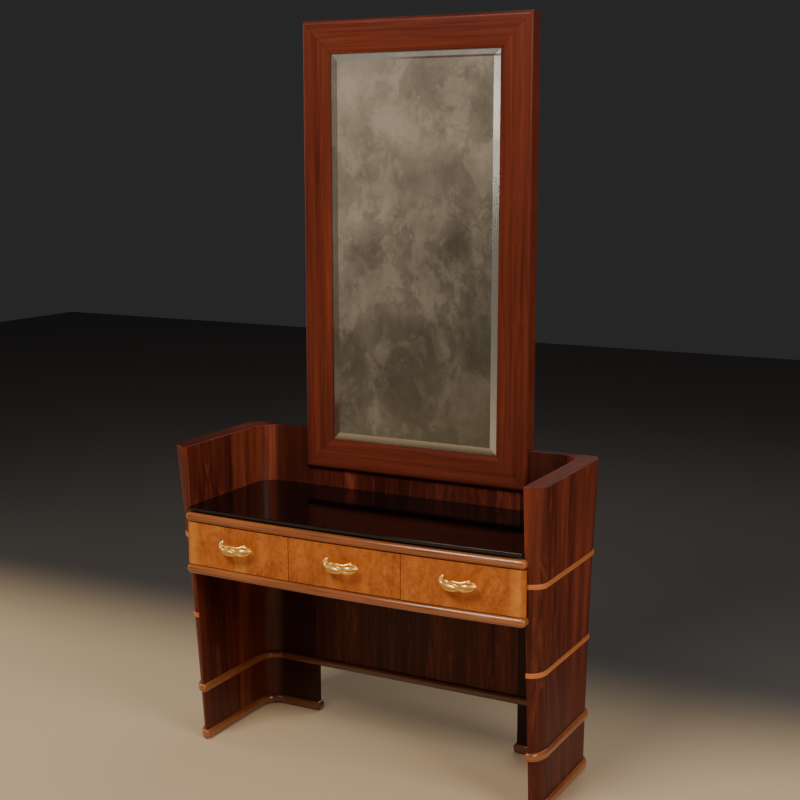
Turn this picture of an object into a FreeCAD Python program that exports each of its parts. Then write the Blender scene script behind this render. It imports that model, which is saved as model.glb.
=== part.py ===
import FreeCAD, Part

import math
import os

import Sketcher

# Dressing table with a fixed upright mirror, in millimetres.
# +X is the sitter's right seen from the front, -Y is the front, +Z is up.
# The origin is on the floor, midway between the sides and between the front of the
# handles and the back of the mirror frame.

V = FreeCAD.Vector

# A full half round would leave no flat at its crown, so the edge radii stop just short.
NEARLY_FULL = 0.95

# Driving sizes: name, value, what it is. A formula ties a size to the ones it goes with.
SIZES = [
    ("shell_half_top", 595.0, "half width over the end panels at the gallery top"),
    ("shell_half_mid", 577.0, "half width over the end panels half way up"),
    ("shell_half_foot", 569.0, "half width over the end panels at the floor"),
    ("inner_half", 537.0, "half width between the end panels"),
    ("gallery_z", 938.0, "height of the gallery top"),
    ("back_face", 220.0, "inner face of the back"),
    ("back_wall", 24.0, "thickness of the back"),
    ("nose_top", 203.0, "front of the end panels at the gallery top"),
    ("nose_foot", 132.0, "front of the end panels at the floor"),
    ("nose_round_top", 36.0, "depth of the nose rounding at the top"),
    ("nose_round_foot", 66.0, "depth of the nose rounding at the floor"),
    ("cove_radius", 66.0, "inner corner between end panel and back"),
    ("back_round", 40.0, "outer corner between end panel and back"),
    ("return_half", 352.0, "half width between the back returns"),
    ("toe_z", 155.0, "height of the toe gap under the back"),
    ("foot_band_tall", 26.0, "height of the foot band"),
    ("foot_band_proud", 9.0, "how far the foot band stands out"),
    ("base_tall", 28.0, "height of the base moulding"),
    ("base_proud", 10.0, "how far the base moulding stands out"),
    ("upper_band_drop", 282.0, "upper inlaid band below the gallery top"),
    ("upper_band_z", "=gallery_z - upper_band_drop", "underside of the upper inlaid band"),
    ("lower_band_drop", 536.0, "lower inlaid band below the gallery top"),
    ("lower_band_z", "=gallery_z - lower_band_drop", "underside of the lower inlaid band"),
    ("band_tall", 12.0, "height of the inlaid bands"),
    ("band_proud", 3.5, "how far the inlaid bands stand out"),
    ("front_chord", 207.0, "front of the mouldings at their ends"),
    ("front_bow", 15.0, "how far the mouldings bow forward at the middle"),
    ("moulding_half", 548.0, "half length of the mouldings"),
    ("moulding_tall", 28.0, "height of the mouldings"),
    ("moulding_end", 12.0, "plan radius of the moulding ends"),
    ("moulding_drop", 10.0, "upper moulding below the underside of the top board"),
    ("upper_moulding_z", "=top_board_z - moulding_drop", "underside of the upper moulding"),
    ("upper_rear", 188.5, "rear plane of the upper moulding and drawer fronts"),
    ("moulding_apart", 160.0, "lower moulding below the upper moulding"),
    ("lower_moulding_z", "=upper_moulding_z - moulding_apart", "underside of the lower moulding"),
    ("lower_rear", 177.0, "rear plane of the lower moulding"),
    ("glass_drop", 191.0, "underside of the glass top below the gallery top"),
    ("glass_z", "=gallery_z - glass_drop", "underside of the glass top"),
    ("glass_thick", 10.0, "thickness of the glass top"),
    ("glass_gap", 0.6, "gap round the glass top"),
    ("glass_set_back", 4.0, "glass front behind the moulding front"),
    ("glass_arris", 1.5, "rounding of the glass front edge"),
    ("top_board_thick", 25.0, "thickness of the board below the glass"),
    ("top_board_z", "=glass_z - top_board_thick", "underside of the board below the glass"),
    ("case_board", 18.0, "thickness of the case boards"),
    ("case_back_y", 140.0, "front of the case back board"),
    ("case_back_thick", 12.0, "thickness of the case back board"),
    ("partition_x", 181.5, "middle of a partition"),
    ("front_recess", 7.0, "drawer fronts behind the mouldings"),
    ("front_gap", 1.6, "gap round each drawer front"),
    ("front_end", 14.0, "plan radius at the outer end of the side drawers"),
    ("front_inset", 2.0, "outer end of the side drawers inside the moulding ends"),
    ("front_flat", 1.0, "flat left behind the rounded outer end"),
    ("drawer_side", 11.0, "thickness of the drawer sides"),
    ("drawer_side_drop", 8.0, "top of the drawer sides below the upper moulding"),
    ("drawer_side_top", "=upper_moulding_z - drawer_side_drop", "top of the drawer sides"),
    ("drawer_back_drop", 10.0, "drawer back below the top of the sides"),
    ("drawer_back_y", 132.0, "rear of the drawers"),
    ("drawer_play", 1.5, "side play of the drawers"),
    ("slide_play", 0.4, "lift of the drawers off the case floor"),
    ("drawer_bottom", 6.0, "thickness of the drawer bottoms"),
    ("bottom_lift", 9.0, "drawer bottom above the lower edge of the sides"),
    ("side_handle_x", 358.0, "middle of the side handles"),
    ("handle_rise", 9.0, "handles above the middle of the drawer fronts"),
    ("handle_half", 59.0, "half length of a handle"),
    ("handle_width", 33.0, "widest part of the handle ribbon"),
    ("handle_waist", 11.0, "width of the ribbon at its twist"),
    ("handle_thick", 4.5, "thickness of the ribbon"),
    ("handle_reach", 37.5, "how far a handle stands out"),
    ("post_radius", 6.0, "radius of the handle posts"),
    ("post_x", 38.0, "handle post from the handle middle"),
    ("screw_radius", 2.0, "radius of the screw shanks"),
    ("screw_play", 0.2, "radial clearance of the screws"),
    ("screw_bite", 9.0, "depth of the tapped holes"),
    ("head_radius", 4.5, "radius of the screw heads"),
    ("head_tall", 2.6, "height of the screw heads"),
    ("mirror_half", 375.5, "half width of the mirror frame"),
    ("mirror_top", "=mirror_foot + mirror_tall", "top of the mirror frame"),
    ("mirror_drop", 123.0, "lower edge of the mirror frame below the gallery top"),
    ("mirror_tall", 1366.0, "height of the mirror frame"),
    ("mirror_foot", "=gallery_z - mirror_drop", "lower edge of the mirror frame"),
    ("member", 98.0, "width of the frame members"),
    ("frame_lip", 15.0, "frame in front of the gallery back"),
    ("frame_deep", 52.0, "depth of the frame above the gallery"),
    ("frame_round", 12.0, "outer edge rounding of the frame"),
    ("sight_bevel", 13.0, "width of the sight edge bevel"),
    ("sight_drop", 3.0, "depth of the sight edge bevel"),
    ("rebate", 9.0, "width of the glass rebate"),
    ("backing_gap", 1.0, "gap behind the mirror backing"),
    ("rebate_deep", "=frame_lip - mirror_thick - backing - backing_gap", "rebate behind the frame front"),
    ("mirror_thick", 4.0, "thickness of the mirror glass"),
    ("mirror_bevel", 22.0, "width of the bevel on the mirror glass"),
    ("bevel_drop", 2.2, "depth of the bevel on the mirror glass"),
    ("backing", 4.0, "thickness of the mirror backing"),
    ("glass_play", 1.0, "gap round the mirror glass"),
    ("batten_tall", 60.0, "height of the mirror battens"),
    ("batten_deep", 18.0, "depth of the mirror battens"),
    ("rest_gap", 0.3, "gap between the frame and the gallery top"),
    ("mirror_screw_rise", 47.0, "mirror screws above the lower edge of the frame"),
    ("mirror_screw_z", "=mirror_foot + mirror_screw_rise", "height of the mirror screws"),
    ("mirror_screw_x", 270.0, "outer mirror screws"),
]

doc = FreeCAD.newDocument("dressing_table")
sheet = doc.addObject("Spreadsheet::Sheet", "dims")
sheet.Label = "dims"

PARTS = []

# The case floor lies flush with the top of the lower moulding.
CASE_FLOOR = "(dims.lower_moulding_z + dims.moulding_tall)"


def fill_sheet():
    """Write the driving sizes into the sheet, each with its alias."""
    for row, (alias, _, note) in enumerate(SIZES, start=1):
        sheet.set("A%d" % row, alias.replace("_", " "))
        sheet.set("C%d" % row, note)
        sheet.setAlias("B%d" % row, alias)
    for row, (_, value, _) in enumerate(SIZES, start=1):
        sheet.set("B%d" % row, value if isinstance(value, str) else "%g" % value)
    doc.recompute()


def size(alias):
    """Read one driving size."""
    return float(getattr(sheet, alias))


def number(formula):
    """Work out a formula of driving sizes."""
    result = sheet.evalExpression(formula)
    return float(getattr(result, "Value", result))


def keep(thing, label):
    """Name a finished sub-part and put it on the list."""
    thing.Label = label
    PARTS.append(thing)
    return thing


# ---------------------------------------------------------------- helpers for features

def new_body(label):
    """Start a sub-part made of sketches and features."""
    return keep(doc.addObject("PartDesign::Body", label), label)


def origin_plane(body, role):
    """Find one of the body's own origin planes."""
    return next(item for item in body.Origin.OriginFeatures if item.Role == role)


def outline(body, name, role, corners, level="0"):
    """Draw a closed outline on an origin plane of the body.

    Each corner is (across, along, bend): two formulas and, where the side that leaves the
    corner is an arc, (radius formula, turn) with turn 1 for an arc that turns left.
    """
    sketch = body.newObject("Sketcher::SketchObject", name)
    sketch.AttachmentSupport = [(origin_plane(body, role), "")]
    sketch.MapMode = "FlatFace"
    sketch.setExpression("AttachmentOffset.Base.z", level)
    spots = [V(number(across), number(along), 0) for across, along, _ in corners]
    ends = []
    for index, (_, _, bend) in enumerate(corners):
        start = spots[index]
        stop = spots[(index + 1) % len(spots)]
        if bend is None:
            sketch.addGeometry(Part.LineSegment(start, stop), False)
            ends.append((1, 2))
            continue
        radius = number(bend[0])
        chord = stop - start
        left = V(-chord.y, chord.x, 0).normalize()
        rise = math.sqrt(max(radius ** 2 - chord.Length ** 2 / 4, 0))
        centre = (start + stop) * 0.5 + left * (bend[1] * rise)
        first, last = (start, stop) if bend[1] > 0 else (stop, start)
        begin = math.atan2(first.y - centre.y, first.x - centre.x)
        finish = math.atan2(last.y - centre.y, last.x - centre.x)
        circle = Part.Circle(centre, V(0, 0, 1), radius)
        sketch.addGeometry(Part.ArcOfCircle(circle, begin, finish), False)
        ends.append((1, 2) if bend[1] > 0 else (2, 1))
    formulas = {}
    for index, (across, along, bend) in enumerate(corners):
        after = (index + 1) % len(corners)
        sketch.addConstraint(
            Sketcher.Constraint("Coincident", index, ends[index][1], after, ends[after][0]))
        spot = spots[index]
        for kind, value, formula in (("DistanceX", spot.x, across), ("DistanceY", spot.y, along)):
            place = sketch.addConstraint(
                Sketcher.Constraint(kind, -1, 1, index, ends[index][0], value))
            formulas[place] = formula
        if bend is not None:
            place = sketch.addConstraint(Sketcher.Constraint("Radius", index, number(bend[0])))
            formulas[place] = bend[0]
    for place, formula in formulas.items():
        sketch.setExpression("Constraints[%d]" % place, formula)
    return sketch


def pad(body, sketch, length, backwards=False, both=False):
    """Extrude a sketch."""
    feature = body.newObject("PartDesign::Pad", sketch.Name + "_pad")
    feature.Profile = sketch
    feature.setExpression("Length", length)
    feature.Reversed = backwards
    feature.Midplane = both
    sketch.Visibility = False
    return feature


def pocket_through(body, sketch):
    """Cut a sketch right through, both ways."""
    feature = body.newObject("PartDesign::Pocket", sketch.Name + "_cut")
    feature.Profile = sketch
    feature.Type = 1
    feature.Midplane = True
    return feature


def round_edges(body, feature, name, radius, chosen):
    """Round the edges of a feature that the test picks."""
    doc.recompute()
    edges = feature.Shape.Edges
    names = ["Edge%d" % (index + 1) for index, edge in enumerate(edges) if chosen(edge)]
    fillet = body.newObject("PartDesign::Fillet", name)
    fillet.Base = (feature, names)
    fillet.setExpression("Radius", radius)
    return fillet


def board(label, low, extent):
    """Make a plain board from the formulas of its low corner and its sizes."""
    box = keep(doc.addObject("Part::Box", label), label)
    for side, formula in zip(("Length", "Width", "Height"), extent):
        box.setExpression(side, formula)
    for axis, formula in zip("xyz", low):
        box.setExpression("Placement.Base." + axis, formula)
    return box


def cylinder(name, radius, length, base, axis):
    """Make a round bar or a round cutter from formulas."""
    bar = doc.addObject("Part::Cylinder", name)
    bar.setExpression("Radius", radius)
    bar.setExpression("Height", length)
    bar.Placement = FreeCAD.Placement(V(0, 0, 0), FreeCAD.Rotation(V(0, 0, 1), axis))
    for letter, formula in zip("xyz", base):
        bar.setExpression("Placement.Base." + letter, formula)
    return bar


def cut_holes(label, solid, cutters):
    """Cut round holes out of a piece and name the result."""
    solid.Label = solid.Name + "_blank"
    PARTS.remove(solid)
    holes = doc.addObject("Part::MultiFuse", label + "_holes")
    holes.Shapes = cutters
    result = doc.addObject("Part::Cut", label + "_bored")
    result.Base = solid
    result.Tool = holes if len(cutters) > 1 else cutters[0]
    if len(cutters) == 1:
        doc.removeObject(holes.Name)
    return keep(result, label)


def group(label, members):
    """Keep identical fasteners as separate solids of one node."""
    bunch = doc.addObject("Part::Compound", label)
    bunch.Links = members
    return keep(bunch, label)


def free_shape(label, shape, spot=V(0, 0, 0)):
    """Keep a shape made from the sheet's values, moved to its spot if asked."""
    feature = doc.addObject("Part::Feature", label)
    feature.Shape = shape
    feature.Placement = FreeCAD.Placement(spot, FreeCAD.Rotation())
    return keep(feature, label)


def side_name(sign):
    """Name a side of the table."""
    return "right" if sign > 0 else "left"


# ---------------------------------------------------------------- the flared shell

def nose_y(level):
    """Front of an end panel at a height: it leans forward going up."""
    share = level / size("gallery_z")
    return -(size("nose_foot") + (size("nose_top") - size("nose_foot")) * share)


def nose_depth(level):
    """Depth of the nose rounding at a height."""
    share = level / size("gallery_z")
    return size("nose_round_foot") + (size("nose_round_top") - size("nose_round_foot")) * share


def outer_x(level):
    """Outer face of an end panel at a height: a parabola through its three driving widths."""
    share = level / size("gallery_z")
    foot, middle, top = size("shell_half_foot"), size("shell_half_mid"), size("shell_half_top")
    curve = 2 * (foot + top - 2 * middle)
    return foot + (top - foot - curve) * share + curve * share ** 2


def nose_edge(level, grow=0.0):
    """Quarter ellipse from the inner arris of the nose round to the outer face."""
    across = outer_x(level) + grow - size("inner_half")
    along = nose_depth(level) + grow
    middle = V(size("inner_half"), nose_y(level) + nose_depth(level), level)
    steps = [math.radians(90 * step / 8) for step in range(9)]
    points = [middle + V(across * math.sin(turn), -along * math.cos(turn), 0) for turn in steps]
    curve = Part.BSplineCurve()
    curve.interpolate(points, InitialTangent=V(1, 0, 0), FinalTangent=V(0, 1, 0))
    return curve.toShape()


def corner_arc(centre, radius, begin, finish):
    """Arc of a plan corner, from one angle to another in degrees."""
    spots = [begin, (begin + finish) / 2, finish]
    points = [centre + V(math.cos(math.radians(a)), math.sin(math.radians(a)), 0) * radius for a in spots]
    return Part.Arc(*points).toShape()


def joined(edges):
    """Join edges, closing the gaps between them with straight sides."""
    loop = []
    for index, edge in enumerate(edges):
        after = edges[(index + 1) % len(edges)]
        loop.append(edge)
        stop = edge.Vertexes[-1].Point
        start = after.Vertexes[0].Point
        if stop.distanceToPoint(start) > 1e-6:
            loop.append(Part.LineSegment(stop, start).toShape())
    return Part.Wire(loop)


def shell_wire(level):
    """Plan outline of an end panel with its corner and back return."""
    inner, back = size("inner_half"), size("back_face")
    cove, turn = size("cove_radius"), size("back_round")
    outer, rear = outer_x(level), back + size("back_wall")
    return joined([
        nose_edge(level),
        corner_arc(V(outer - turn, rear - turn, level), turn, 0, 90),
        Part.LineSegment(V(size("return_half"), rear, level), V(size("return_half"), back, level)).toShape(),
        corner_arc(V(inner - cove, back - cove, level), cove, 90, 0),
    ])


def on_side(shape, sign):
    """Mirror an outline that was drawn for the right to the side that is wanted."""
    return shape if sign > 0 else shape.mirror(V(0, 0, 0), V(1, 0, 0))


def shell_solid(sign):
    """End panel, corner and return, lofted from the floor to the gallery top."""
    top = size("gallery_z")
    sections = [on_side(shell_wire(top * share), sign) for share in (0.0, 0.5, 1.0)]
    return Part.makeLoft(sections, True, False)


def end_panel(sign):
    """Veneered end panel with its rounded nose, corner and short return along the back."""
    return free_shape(side_name(sign) + "_end_panel", shell_solid(sign))


def inlaid_band(sign, which):
    """Thin band across the nose and the outer face."""
    low = size(which + "_band_z")
    level = low + size("band_tall") / 2
    proud = size("band_proud")
    inner, rear = size("inner_half"), size("back_face") + size("back_wall")
    turn = size("back_round")
    keep_in = size("back_wall") / 2
    outer = outer_x(level)
    loop = joined([
        nose_edge(level, proud),
        corner_arc(V(outer - turn, rear - turn, level), turn + proud, 0, 60),
        Part.LineSegment(V(inner + keep_in / 2, rear - turn, level),
                         V(inner + keep_in / 2, nose_y(level) + nose_depth(level), level)).toShape(),
        Part.LineSegment(V(inner, nose_y(level) + keep_in / 2, level),
                         V(inner, nose_y(level) - proud, level)).toShape(),
    ])
    block = Part.Face(on_side(loop, sign)).extrude(V(0, 0, size("band_tall")))
    block.translate(V(0, 0, -size("band_tall") / 2))
    band = block.cut(shell_solid(sign))
    solid = max(band.Solids, key=lambda piece: piece.Volume)
    return free_shape("%s_%s_band" % (side_name(sign), which), solid)


# A half-round section is drawn by turning from its lower edge to its upper edge, in degrees.
ROUND_END = 12
ROUND_STEPS = 6


def ring_wire(level, proud):
    """Plan outline of an end panel grown by a moulding, flush with the rear of the back."""
    inner, back, end = size("inner_half"), size("back_face"), size("return_half")
    cove, turn = size("cove_radius"), size("back_round")
    outer, rear = outer_x(level), back + size("back_wall")
    meets_rear = math.degrees(math.asin(turn / (turn + proud)))
    nose = V(inner, nose_y(level), level)
    return joined([
        corner_arc(nose, proud, 180, 270),
        nose_edge(level, proud),
        corner_arc(V(outer - turn, rear - turn, level), turn + proud, 0, meets_rear),
        Part.LineSegment(V(end - proud, rear, level), V(end - proud, back, level)).toShape(),
        corner_arc(V(end, back, level), proud, 180, 270),
        corner_arc(V(inner - cove, back - cove, level), cove - proud, 90, 0),
    ])


def ring(low, tall, proud, sign):
    """Half-round moulding that follows the nose, both faces and the return."""
    sections = []
    for step in range(ROUND_STEPS + 1):
        turn = math.radians(ROUND_END + (180 - 2 * ROUND_END) * step / ROUND_STEPS)
        level = low + tall * (0.5 - 0.5 * math.cos(turn) / math.cos(math.radians(ROUND_END)))
        sections.append(on_side(ring_wire(level, proud * math.sin(turn)), sign))
    moulding = Part.makeLoft(sections, True, False).cut(shell_solid(sign))
    return max(moulding.Solids, key=lambda piece: piece.Volume)


def foot_band(sign):
    """Half-round band above the plinth, inside and out."""
    low, tall, end = size("toe_z"), size("foot_band_tall"), size("return_half")
    back, rear = size("back_face"), size("back_face") + size("back_wall")
    rail_gap = Part.makeBox(2 * end, 2 * rear, 2 * tall, V(-end, -back, low - tall / 2))
    band = ring(low, tall, size("foot_band_proud"), sign).cut(rail_gap)
    band = max(band.Solids, key=lambda piece: piece.Volume)
    return free_shape(side_name(sign) + "_foot_band", band)


def base_moulding(sign):
    """Half-round moulding that the plinth stands in, on the floor."""
    skirt = ring(0.0, size("base_tall"), size("base_proud"), sign)
    return free_shape(side_name(sign) + "_base_moulding", skirt)


# ---------------------------------------------------------------- back, top and case

def back_panel():
    """Veneered back between the two returns, from the toe gap to the gallery top."""
    panel = board("back_panel", ("-dims.return_half", "dims.back_face", "dims.toe_z"),
                  ("2 * dims.return_half", "dims.back_wall", "dims.gallery_z - dims.toe_z"))
    cutters = [cylinder("back_hole_%d" % index, "dims.screw_radius + dims.screw_play",
                        "dims.back_wall", (spot, "dims.back_face", "dims.mirror_screw_z"), V(0, 1, 0))
               for index, spot in enumerate(mirror_screw_spots())]
    return cut_holes("back_panel", panel, cutters)


def back_rail_moulding():
    """Half-round stretcher moulding along the lower edge of the back."""
    body = new_body("back_rail_moulding")
    low, high = "dims.toe_z", "dims.toe_z + dims.foot_band_tall"
    front = "dims.back_face - dims.foot_band_proud"
    corner = "dims.foot_band_proud * %g" % NEARLY_FULL
    tip = "%s + %s" % (front, corner)
    sketch = outline(body, "rail_section", "YZ_Plane", [
        ("dims.back_face", low, None),
        ("dims.back_face", high, None),
        (tip, high, (corner, 1)),
        (front, "%s - %s" % (high, corner), None),
        (front, "%s + %s" % (low, corner), (corner, 1)),
        (tip, low, None),
    ])
    pad(body, sketch, "2 * dims.return_half", both=True)
    return body


def top_plan(body, name, level, front, gap):
    """Plan of the table top: bowed front, coved rear corners."""
    half = "dims.inner_half - " + gap
    back = "dims.back_face - " + gap
    cove = "dims.cove_radius"
    bow = "((%s)^2 + dims.front_bow^2) / (2 * dims.front_bow)" % half
    return outline(body, name, "XY_Plane", [
        ("-(%s)" % half, front, (bow, 1)),
        (half, front, None),
        (half, "%s - %s" % (back, cove), (cove, 1)),
        ("%s - %s" % (half, cove), back, None),
        ("-(%s - %s)" % (half, cove), back, (cove, 1)),
        ("-(%s)" % half, "%s - %s" % (back, cove), None),
    ], level)


def top_board():
    """Board that carries the glass top, held between the end panels and the back."""
    body = new_body("top_board")
    sketch = outline(body, "top_board_plan", "XY_Plane", [
        ("-dims.inner_half", "-dims.upper_rear + dims.rest_gap", None),
        ("dims.inner_half", "-dims.upper_rear + dims.rest_gap", None),
        ("dims.inner_half", "dims.back_face - dims.cove_radius", ("dims.cove_radius", 1)),
        ("dims.inner_half - dims.cove_radius", "dims.back_face", None),
        ("-(dims.inner_half - dims.cove_radius)", "dims.back_face", ("dims.cove_radius", 1)),
        ("-dims.inner_half", "dims.back_face - dims.cove_radius", None),
    ], "dims.top_board_z")
    pad(body, sketch, "dims.glass_z - dims.top_board_z")
    return body


def glass_top():
    """Black glass plate with a bowed front edge and rounded rear corners."""
    body = new_body("glass_top")
    front = "-(dims.front_chord - dims.glass_set_back)"
    sketch = top_plan(body, "glass_plan", "dims.glass_z", front, "dims.glass_gap")
    plate = pad(body, sketch, "dims.glass_thick")
    top = size("glass_z") + size("glass_thick")

    def front_top(edge):
        box = edge.BoundBox
        return box.ZMin > top - 1e-3 and box.YMax < -size("upper_rear")

    round_edges(body, plate, "glass_front_round", "dims.glass_arris", front_top)
    return body


def moulding(label, level, rear):
    """Half-round moulding across the front, bowed in plan, with rounded ends."""
    body = new_body(label)
    half, end = "dims.moulding_half", "dims.moulding_end"
    flat = "(dims.moulding_half - dims.moulding_end)"
    bow = "(%s^2 + dims.front_bow^2) / (2 * dims.front_bow)" % flat
    sketch = outline(body, label + "_plan", "XY_Plane", [
        ("-" + flat, "-dims.front_chord", (bow, 1)),
        (flat, "-dims.front_chord", (end, 1)),
        (half, "-dims.front_chord + " + end, None),
        (half, "-" + rear, None),
        ("-" + half, "-" + rear, None),
        ("-" + half, "-dims.front_chord + " + end, (end, 1)),
    ], level)
    bar = pad(body, sketch, "dims.moulding_tall")
    rear_y = -number(rear)

    def front_edge(edge):
        box = edge.BoundBox
        flat_edge = box.ZMax - box.ZMin < 1e-3
        return flat_edge and not (abs(box.YMax - rear_y) < 1e-3 and box.YMax - box.YMin < 1e-3)

    round_edges(body, bar, label + "_round", "dims.moulding_tall * 0.36", front_edge)
    return body


def case():
    """Bottom board, back board and the two partitions between the drawers."""
    board("case_bottom_board",
          ("-dims.inner_half", "-dims.lower_rear", CASE_FLOOR + " - dims.case_board"),
          ("2 * dims.inner_half", "dims.lower_rear + dims.case_back_y", "dims.case_board"))
    board("case_back_board",
          ("-dims.inner_half", "dims.case_back_y", CASE_FLOOR + " - dims.case_board"),
          ("2 * dims.inner_half", "dims.case_back_thick",
           "dims.top_board_z + dims.case_board - " + CASE_FLOOR))
    for sign in (-1, 1):
        board(side_name(sign) + "_partition",
              ("%d * dims.partition_x - dims.case_board / 2" % sign, "-dims.lower_rear", CASE_FLOOR),
              ("dims.case_board", "dims.lower_rear + dims.case_back_y", "dims.top_board_z - " + CASE_FLOOR))


# ---------------------------------------------------------------- drawers

DRAWERS = {"left": -1, "middle": 0, "right": 1}


def drawer_span(sign):
    """Formulas of the drawer box's low and high X."""
    near = "(dims.partition_x + dims.case_board / 2 + dims.drawer_play)"
    far = "(dims.inner_half - dims.drawer_play)"
    if sign == 0:
        inside = "(dims.partition_x - dims.case_board / 2 - dims.drawer_play)"
        return "-" + inside, inside
    return (near, far) if sign > 0 else ("-" + far, "-" + near)


def bow_y(across):
    """Front of the drawer fronts at a distance from the middle."""
    flat = size("moulding_half") - size("moulding_end")
    bow = (flat ** 2 + size("front_bow") ** 2) / (2 * size("front_bow"))
    middle = -(size("front_chord") + size("front_bow") - size("front_recess"))
    return middle + bow - math.sqrt(bow ** 2 - across ** 2)


def bow_formula(across):
    """Formula of the front of the drawer fronts at a distance from the middle."""
    flat = "(dims.moulding_half - dims.moulding_end)"
    bow = "((%s^2 + dims.front_bow^2) / (2 * dims.front_bow))" % flat
    middle = "-(dims.front_chord + dims.front_bow - dims.front_recess)"
    return "%s + %s - sqrt(%s^2 - (%s)^2)" % (middle, bow, bow, across)


def handle_x(sign):
    """Formula of a handle's middle."""
    return "%d * dims.side_handle_x" % sign


def drawer_front(name, sign):
    """Bowed drawer front; the outer end of a side drawer is rounded in plan."""
    body = new_body("%s_drawer_front" % name)
    flat = "(dims.moulding_half - dims.moulding_end)"
    bow = "((%s^2 + dims.front_bow^2) / (2 * dims.front_bow))" % flat
    near = "(dims.partition_x + dims.front_gap / 2)"
    rear = "-dims.upper_rear"
    level = CASE_FLOOR + " + dims.front_gap"
    if sign == 0:
        near = "(dims.partition_x - dims.front_gap / 2)"
        corners = [("-" + near, bow_formula(near), (bow, 1)), (near, bow_formula(near), None),
                   (near, rear, None), ("-" + near, rear, None)]
    else:
        end = "dims.front_end"
        far = "(dims.moulding_half - dims.front_inset)"
        turn_x = "(%s - %s)" % (far, end)
        turn_y = "-dims.upper_rear - dims.front_flat"
        corners = [(near, bow_formula(near), (bow, 1)),
                   (turn_x, bow_formula(turn_x), (end, 1)),
                   (far, turn_y, None), (far, rear, None), (near, rear, None)]
        if sign < 0:
            corners = [("-" + far, rear, None), ("-" + near, rear, None),
                       ("-" + near, bow_formula(near), (bow, -1)),
                       ("-" + turn_x, bow_formula(turn_x), (end, -1)), ("-" + far, turn_y, None)]
            corners = reverse_loop(corners)
    sketch = outline(body, "%s_front_plan" % name, "XY_Plane", corners, level)
    pad(body, sketch, "dims.upper_moulding_z - dims.front_gap - (%s)" % level)
    hole = "dims.screw_radius + dims.screw_play"
    cutters = [cylinder("%s_front_hole_%d" % (name, index), hole, "dims.handle_half",
                        (spot, rear, handle_z()), V(0, -1, 0))
               for index, spot in enumerate(handle_screw_spots(sign))]
    return cut_holes("%s_drawer_front" % name, body, cutters)


def reverse_loop(corners):
    """Turn a loop the other way round, keeping each arc on its own side."""
    count = len(corners)
    turned = []
    for index in range(count - 1, -1, -1):
        across, along, _ = corners[index]
        bend = corners[index - 1][2]
        turned.append((across, along, None if bend is None else (bend[0], -bend[1])))
    return turned


def drawer_box(name, sign):
    """Sides, back and bottom of a drawer."""
    low, high = drawer_span(sign)
    side, foot = "dims.drawer_side", CASE_FLOOR + " + dims.slide_play"
    tall = "dims.drawer_side_top - (%s)" % foot
    deep = "dims.drawer_back_y + dims.upper_rear"
    inside = "(%s) - (%s) - 2 * dims.drawer_side" % (high, low)
    board("%s_drawer_left_side" % name, (low, "-dims.upper_rear", foot), (side, deep, tall))
    board("%s_drawer_right_side" % name, ("%s - %s" % (high, side), "-dims.upper_rear", foot),
          (side, deep, tall))
    board("%s_drawer_back" % name,
          ("%s + %s" % (low, side), "dims.drawer_back_y - dims.drawer_side", foot),
          (inside, side, tall + " - dims.drawer_back_drop"))
    board("%s_drawer_bottom" % name,
          ("%s + %s" % (low, side), "-dims.upper_rear", foot + " + dims.bottom_lift"),
          (inside, deep + " - dims.drawer_side", "dims.drawer_bottom"))


def handle_z():
    """Formula of the height of the handles."""
    return "(%s + dims.upper_moulding_z) / 2 + dims.handle_rise" % CASE_FLOOR


def handle_screw_spots(sign):
    """Formulas of the X of the two screws of a handle."""
    return ["%s + %d * dims.post_x" % (handle_x(sign), way) for way in (-1, 1)]


# The ribbon turns over a little right of its middle.
TWIST_AT = 0.12
TWIST_PACE = 6.5
RIBBON_STEPS = 24


def ribbon_section(share):
    """Cross-section of the handle ribbon at a share of its length.

    The ribbon arches away from the drawer and turns over half way along, where it narrows to
    a waist, so its two edges cross.
    """
    half = size("handle_half")
    reach = size("handle_reach")
    along = (2 * share - 1)
    post_gap = size("post_radius") * 3.4
    arch = post_gap + (reach - post_gap - size("handle_thick")) * (1 - along ** 2) ** 0.8
    waist, widest = size("handle_waist"), size("handle_width")
    bulge = math.sin(math.pi * min(abs(along - TWIST_AT), 1.0)) ** 0.8
    width = waist * (1 - 0.55 * abs(along)) + (widest - waist) * bulge
    turn = math.radians(180) / (1 + math.exp(-TWIST_PACE * (along - TWIST_AT)))
    thick = size("handle_thick") / 2
    across, through = V(0, math.sin(turn), math.cos(turn)), V(0, math.cos(turn), -math.sin(turn))
    centre = V(along * half, -arch, 0)
    corners = [(-0.5, 0.35), (-0.25, 1), (0.25, 1), (0.5, 0.35), (0.5, -0.35), (0.25, -1), (-0.25, -1),
               (-0.5, -0.35)]
    points = [centre + across * (width * u) + through * (thick * v) for u, v in corners]
    return Part.makePolygon(points + [points[0]])


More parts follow.
